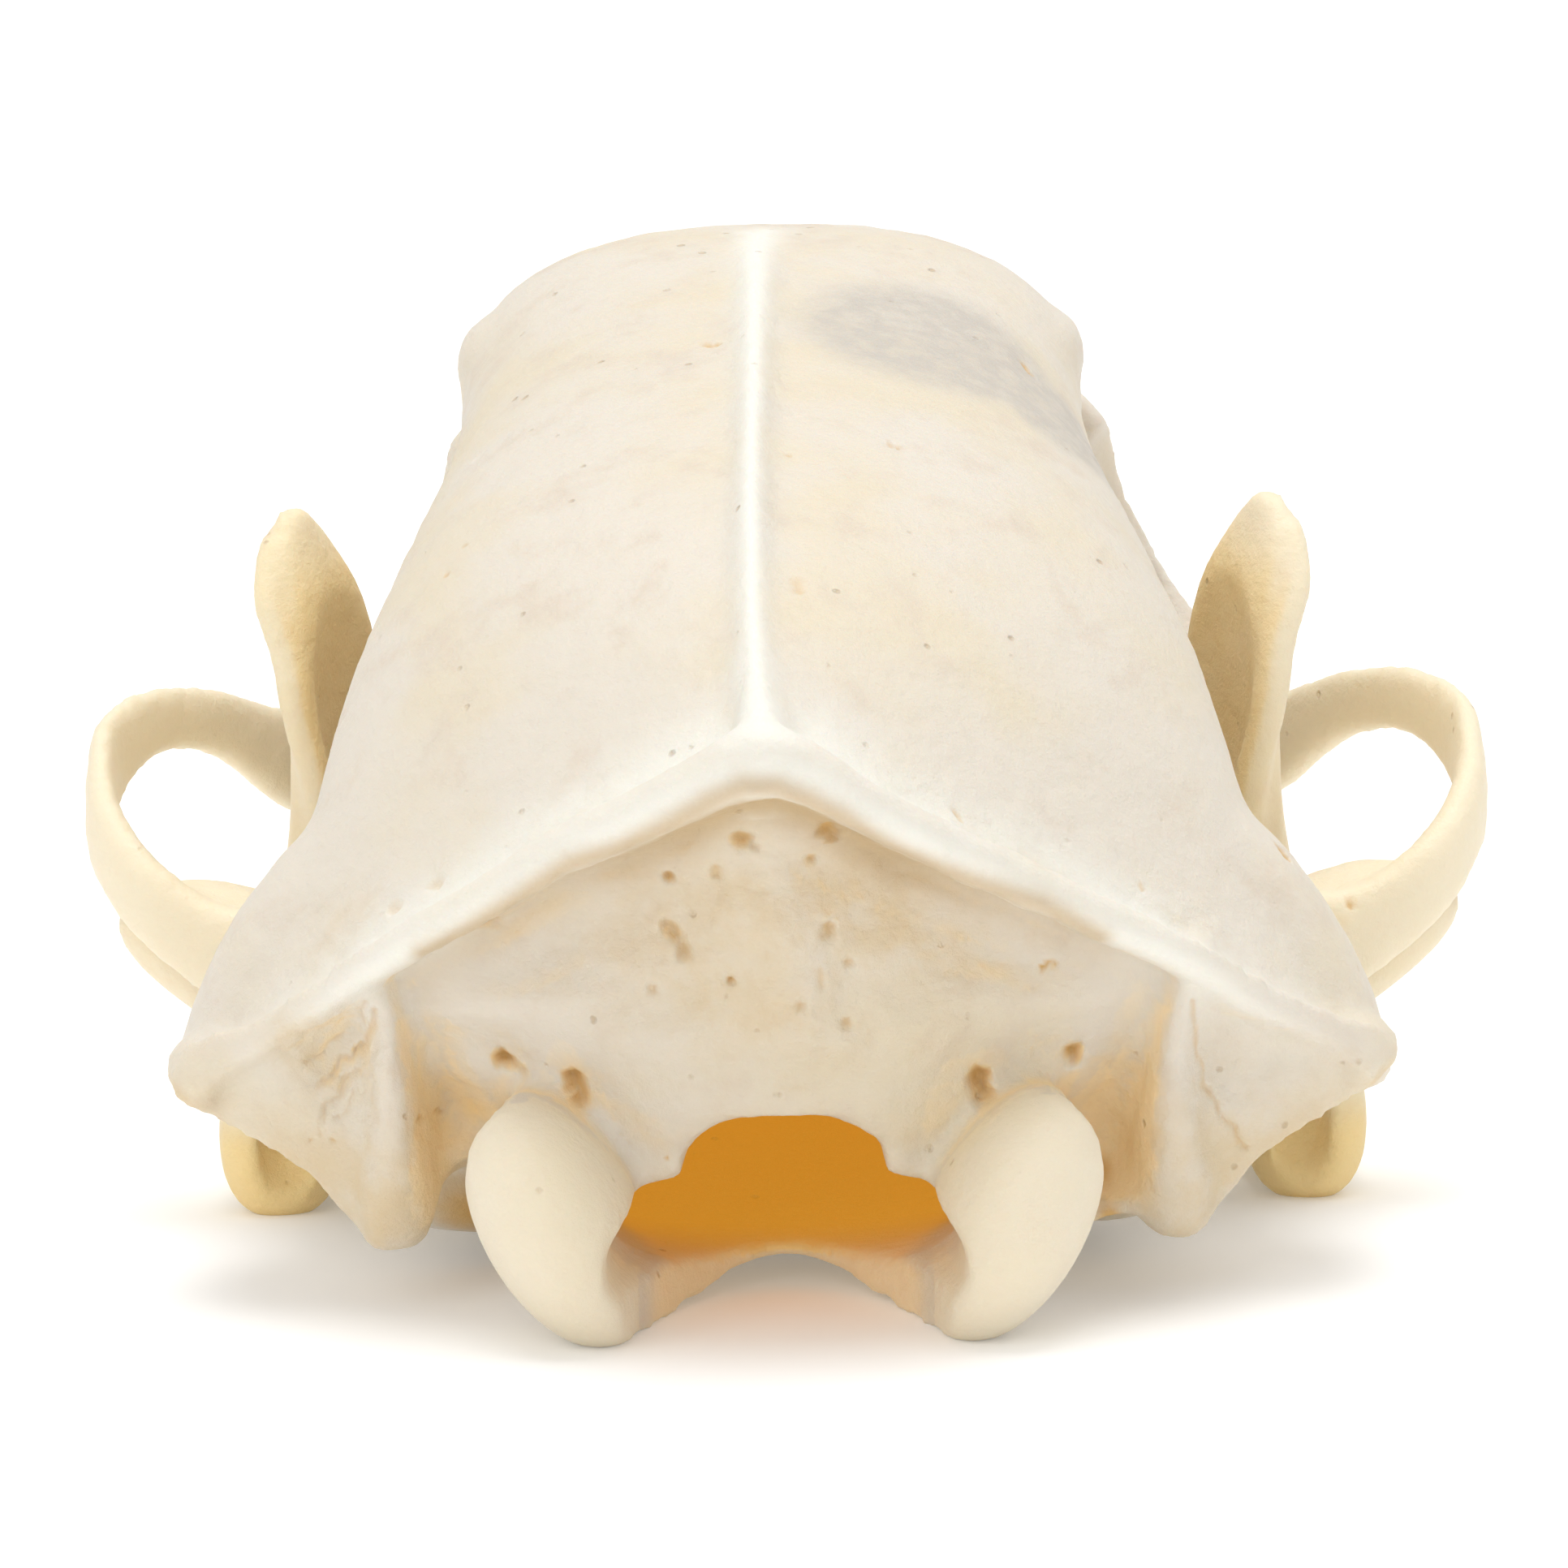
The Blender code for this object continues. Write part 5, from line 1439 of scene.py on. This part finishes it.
def mark_cranium(cranium, cavity):
    """Numbers that the bone's colours read: stains and painted shade, shut-in hollows, painted
    highlight on the edges, painted shade under the crest's lip, and the cavity's painted glow.
    """
    spots, ways = places(cranium), directions(cranium)
    x, y, z = spots.T
    wide = np.abs(x)
    inside = near_cavity(spots, cavity)
    smooth = off_condyles(spots)
    # Painted glow deep in the brain cavity, where light comes through the thin bone.
    painted_glow_inside = inside * smooth_step(y, 7.5, 13.0)
    set_mark(cranium, "painted_glow", np.maximum(painted_glow_inside, patch_strength(spots, "painted_glow")))
    # Stain and painted warm shade on the plate under the foramen and in shut-in hollows.
    plate = (1 - smooth_step(wide, 4.8, 6.4)) * (1 - smooth_step(z, -3.9, -3.4))
    plate *= smooth_step(y, 4.0, 6.0) * (y < 16)
    shut = hollowness(cranium, ~inside & ((y < 12) | (wide > 12.5)))
    set_mark(cranium, "hollow_stain_and_shade", np.maximum(0.9 * plate, shut))
    # Tan, stronger towards the bottom at the sides of the back.
    low = (1 - smooth_step(z, -2.0, 4.0)) * (wide > 9) * (y < 12) * 0.75
    set_mark(cranium, "tan_stain_and_shade", np.maximum(patch_strength(spots, "tan_stain_and_shade"), low) * smooth)
    arches = smooth_step(wide, 14.5, 17.5) * smooth_step(y, 19.0, 22.0)
    set_mark(cranium, "warm", np.maximum(arches, (1 - smooth) * 0.6))
    # Painted highlight along the roof's ridge and the nuchal crest's band.
    ridge = bell(off_path(spots[:, :2], SAGITTAL_LINE), ridge_width(y)) * (z > 12)
    flat = spots[:, (0, 2)]
    band = [(across, up) for across, _, up, _, _ in NUCHAL_BAND]
    crest = bell(off_path(flat, band), 0.8) * (y < 11) * (1 - smooth_step(wide, 12, 18))
    set_mark(cranium, "ridge_highlight", np.maximum(ridge, crest))
    set_mark(cranium, "grey", patch_strength(spots, "grey"))
    # Painted shade under the crest's lip, strongest at the middle, and a darker yellowish rim
    # along the lip.
    lip, under = off_path(flat - (0, 0.3), CREST_LIP), off_path(flat + (0, 0.95), CREST_LIP)
    shaded = (1 - 0.75 * smooth_step(wide, 1.5, 9.0)) * bell(under, 0.85)
    lip_rim_and_shade = np.maximum(0.75 * bell(lip, LIP_WIDTH), shaded)
    set_mark(cranium, "lip", lip_rim_and_shade * smooth_step(-ways[:, 1], -0.2, 0.4) * (y < 9))


class SkullSizes(bpy.types.PropertyGroup):
    cranium_grain: bpy.props.FloatProperty(
        name="Cranium grain", description="Size of the mesh cells that the cranium is grown from",
        default=0.27 * MM, min=0.15 * MM, max=1.0 * MM, unit="LENGTH", precision=5)
    jaw_grain: bpy.props.FloatProperty(
        name="Jaw grain", description="Size of the mesh cells that the lower jaw is grown from",
        default=0.24 * MM, min=0.15 * MM, max=1.0 * MM, unit="LENGTH", precision=5)


class BoneColours(bpy.types.PropertyGroup):
    cranium: bpy.props.FloatVectorProperty(
        name="Cranium", description="Cream of the braincase and the face",
        default=(0.73, 0.665, 0.565), subtype="COLOR", min=0, max=1)
    cheek: bpy.props.FloatVectorProperty(
        name="Jaw and cheek", description="Warmer cream of the lower jaw",
        default=(0.86, 0.76, 0.56), subtype="COLOR", min=0, max=1)
    # Colour of the hollows: partly stain, partly painted warm shade.
    hollow_stain_and_shade: bpy.props.FloatVectorProperty(
        name="Hollows", description="Tan of the rough hollows at the back",
        default=(0.97, 0.76, 0.45), subtype="COLOR", min=0, max=1)


class StageSettings(bpy.types.PropertyGroup):
    floor: bpy.props.FloatVectorProperty(
        name="Floor", description="Colour of the table",
        default=(0.97, 0.97, 0.97), subtype="COLOR", min=0, max=1)
    sky: bpy.props.FloatProperty(
        name="Sky light", description="Strength of the even light from all round",
        default=0.64, min=0, max=10)


class SKULL_OT_cranium(bpy.types.Operator):
    """Models the upper skull with both cheek arches as one bone"""

    bl_idname = "skull.cranium"
    bl_label = "Upper skull"

    def execute(self, context):
        sizes, colours = context.scene.skull_sizes, context.scene.skull_colours
        voxel = sizes.cranium_grain / MM
        cranium = make_cranium(voxel)
        form_the_back(cranium)
        grow(cranium, voxel, 1)
        cavity = cavity_tree()
        thin_hidden(cranium, cavity)
        refine(cranium, near_pits)
        sharpen(cranium)
        pit_and_roughen(cranium, cavity)
        modifier(cranium, "DECIMATE", ratio=MOST_TRIANGLES / triangles(cranium))
        mark_cranium(cranium, cavity)
        paint = bone_paint("cranium_bone", colours.cranium, colours.cheek, colours.hollow_stain_and_shade)
        finish_piece(cranium, paint,
                     ["braincase", "snout", "cheekbone_left", "cheekbone_right"])
        return {"FINISHED"}


class SKULL_OT_jaw(bpy.types.Operator):
    """Models both halves of the lower jaw"""

    bl_idname = "skull.jaw"
    bl_label = "Lower jaw"

    def execute(self, context):
        sizes, colours = context.scene.skull_sizes, context.scene.skull_colours
        right = make_jaw(sizes.jaw_grain / MM)
        left = twin(right, "mandible_left_bone")
        # The jaw's deeper colour for its hollows: stain and painted shade.
        deeper = tinted(colours.hollow_stain_and_shade, 0.95, 0.92, 0.72)
        paint = bone_paint("jaw_bone", colours.cheek, colours.cheek, deeper)
        for piece, node in ((right, "mandible_right"), (left, "mandible_left")):
            swayed([piece])
            nothing = np.zeros(len(piece.data.vertices))
            for mark in ("painted_glow", "grey", "pit_shade", "warm", "ridge_highlight", "lip"):
                set_mark(piece, mark, nothing)
            x, y, z = places(piece).T
            # Painted warm shade on the jaw's inner faces and in the hollow at its angle.
            inner_shade = shade_jaw_inner_faces(np.sign(x), y, z, directions(piece))
            set_mark(piece, "tan_stain_and_shade", inner_shade)
            # Stain and painted shade where the jaw is shut in.
            set_mark(piece, "hollow_stain_and_shade", np.maximum(inner_shade, hollowness(piece, nothing == 0)))
            finish_piece(piece, paint, [node])
        return {"FINISHED"}


class SKULL_OT_teeth(bpy.types.Operator):
    """Models the two rows of teeth"""

    bl_idname = "skull.teeth"
    bl_label = "Teeth"

    def execute(self, context):
        paint = tooth_paint()
        upper = (CARNASSIAL_UPPER, MOLAR_UPPER)
        rows = (
            ("upper_teeth", UPPER_TEETH, upper, UPPER_GUM, False, "snout_bone"),
            ("lower_teeth", LOWER_TEETH, (CARNASSIAL_LOWER,), LOWER_GUM, True, "jaw_bone"),
        )
        for name, simple, grinders, gum, upward, slot in rows:
            row = teeth(simple, grinders, gum, upward)
            row += [twin(tooth, tooth.name + "_left") for tooth in row]
            if upward:
                swayed(row)
            first = row.pop()
            first.name = name
            boolean(first, row, "UNION")
            modifier(first, "REMESH", mode="VOXEL", voxel_size=TOOTH_GRAIN * MM)
            modifier(first, "SMOOTH", factor=0.5, iterations=TOOTH_ROUNDS)
            from_gum = np.abs(places(first)[:, 2] - gum)
            set_mark(first, "neck", 1 - smooth_step(from_gum, 0.2, 0.9))
            finish_piece(first, paint, [])
        return {"FINISHED"}


class SKULL_OT_stage(bpy.types.Operator):
    """Lays the table, hangs the lights and sets the camera"""

    bl_idname = "skull.stage"
    bl_label = "Table, lights and camera"

    def execute(self, context):
        settings = context.scene.skull_stage
        table = primitive("table_top", bpy.ops.mesh.primitive_plane_add, size=TABLE_SIZE)
        paint = Paint("table_paper")
        paint.set("Base Color", (*settings.floor, 1))
        paint.set("Roughness", 0.9)
        paint.set("Emission Color", (1, 1, 1, 1))
        paint.set("Emission Strength", TABLE_GLOW)
        table.data.materials.append(paint.material)

        world = bpy.data.worlds.new("studio")
        context.scene.world = world
        world.use_nodes = True
        sky = world.node_tree.nodes["Background"]
        sky.inputs["Color"].default_value = (1, 1, 1, 1)
        sky.inputs["Strength"].default_value = settings.sky
        context.scene.view_settings.view_transform = "Standard"

        for name, spot, size, watts in LIGHTS:
            lamp = bpy.data.lights.new(name, "AREA")
            lamp.shape = "DISK"
            lamp.size = size
            lamp.energy = watts
            holder = placed(name, lamp)
            holder.location = spot
            aim = Vector(LIGHTS_AIM) - Vector(spot)
            holder.rotation_euler = aim.to_track_quat("-Z", "Y").to_euler()

        lens = bpy.data.cameras.new("photo_camera")
        lens.sensor_width = CAMERA_SENSOR
        lens.lens = CAMERA_LENS
        lens.clip_start = 0.01
        camera = placed("photo_camera", lens)
        gaze = Vector((0, math.cos(CAMERA_RISE), -math.sin(CAMERA_RISE)))
        up = Vector((0, math.sin(CAMERA_RISE), math.cos(CAMERA_RISE)))
        side = Vector((1, 0, 0))
        c, s = math.cos(-CAMERA_ROLL), math.sin(-CAMERA_ROLL)
        turned = Matrix((side * c + up * s, up * c - side * s, -gaze)).transposed().to_4x4()
        turned.translation = (Vector(CAMERA_TARGET) - gaze * CAMERA_DISTANCE) * MM
        camera.matrix_world = REST @ turned
        context.scene.camera = camera
        return {"FINISHED"}


class SKULL_PT_sidebar(bpy.types.Panel):
    bl_label = "Skunk skull"
    bl_idname = "SKULL_PT_sidebar"
    bl_space_type = "VIEW_3D"
    bl_region_type = "UI"
    bl_category = "Skull"

    def draw(self, context):
        layout = self.layout
        for group in ("skull_sizes", "skull_colours", "skull_stage"):
            settings = getattr(context.scene, group)
            for key in settings.__annotations__:
                layout.prop(settings, key)
        for maker in MAKERS:
            layout.operator(maker.bl_idname)


GROUPS = {"skull_sizes": SkullSizes, "skull_colours": BoneColours, "skull_stage": StageSettings}
MAKERS = (SKULL_OT_cranium, SKULL_OT_jaw, SKULL_OT_teeth, SKULL_OT_stage)


def register():
    for kind in (*GROUPS.values(), *MAKERS, SKULL_PT_sidebar):
        bpy.utils.register_class(kind)
    for name, kind in GROUPS.items():
        setattr(bpy.types.Scene, name, bpy.props.PointerProperty(type=kind))


def unregister():
    for name in GROUPS:
        delattr(bpy.types.Scene, name)
    for kind in (SKULL_PT_sidebar, *reversed(MAKERS), *reversed(GROUPS.values())):
        bpy.utils.unregister_class(kind)


def main():
    register()
    bpy.ops.skull.cranium()
    bpy.ops.skull.jaw()
    bpy.ops.skull.teeth()
    bpy.ops.skull.stage()


if __name__ == "__main__":
    main()
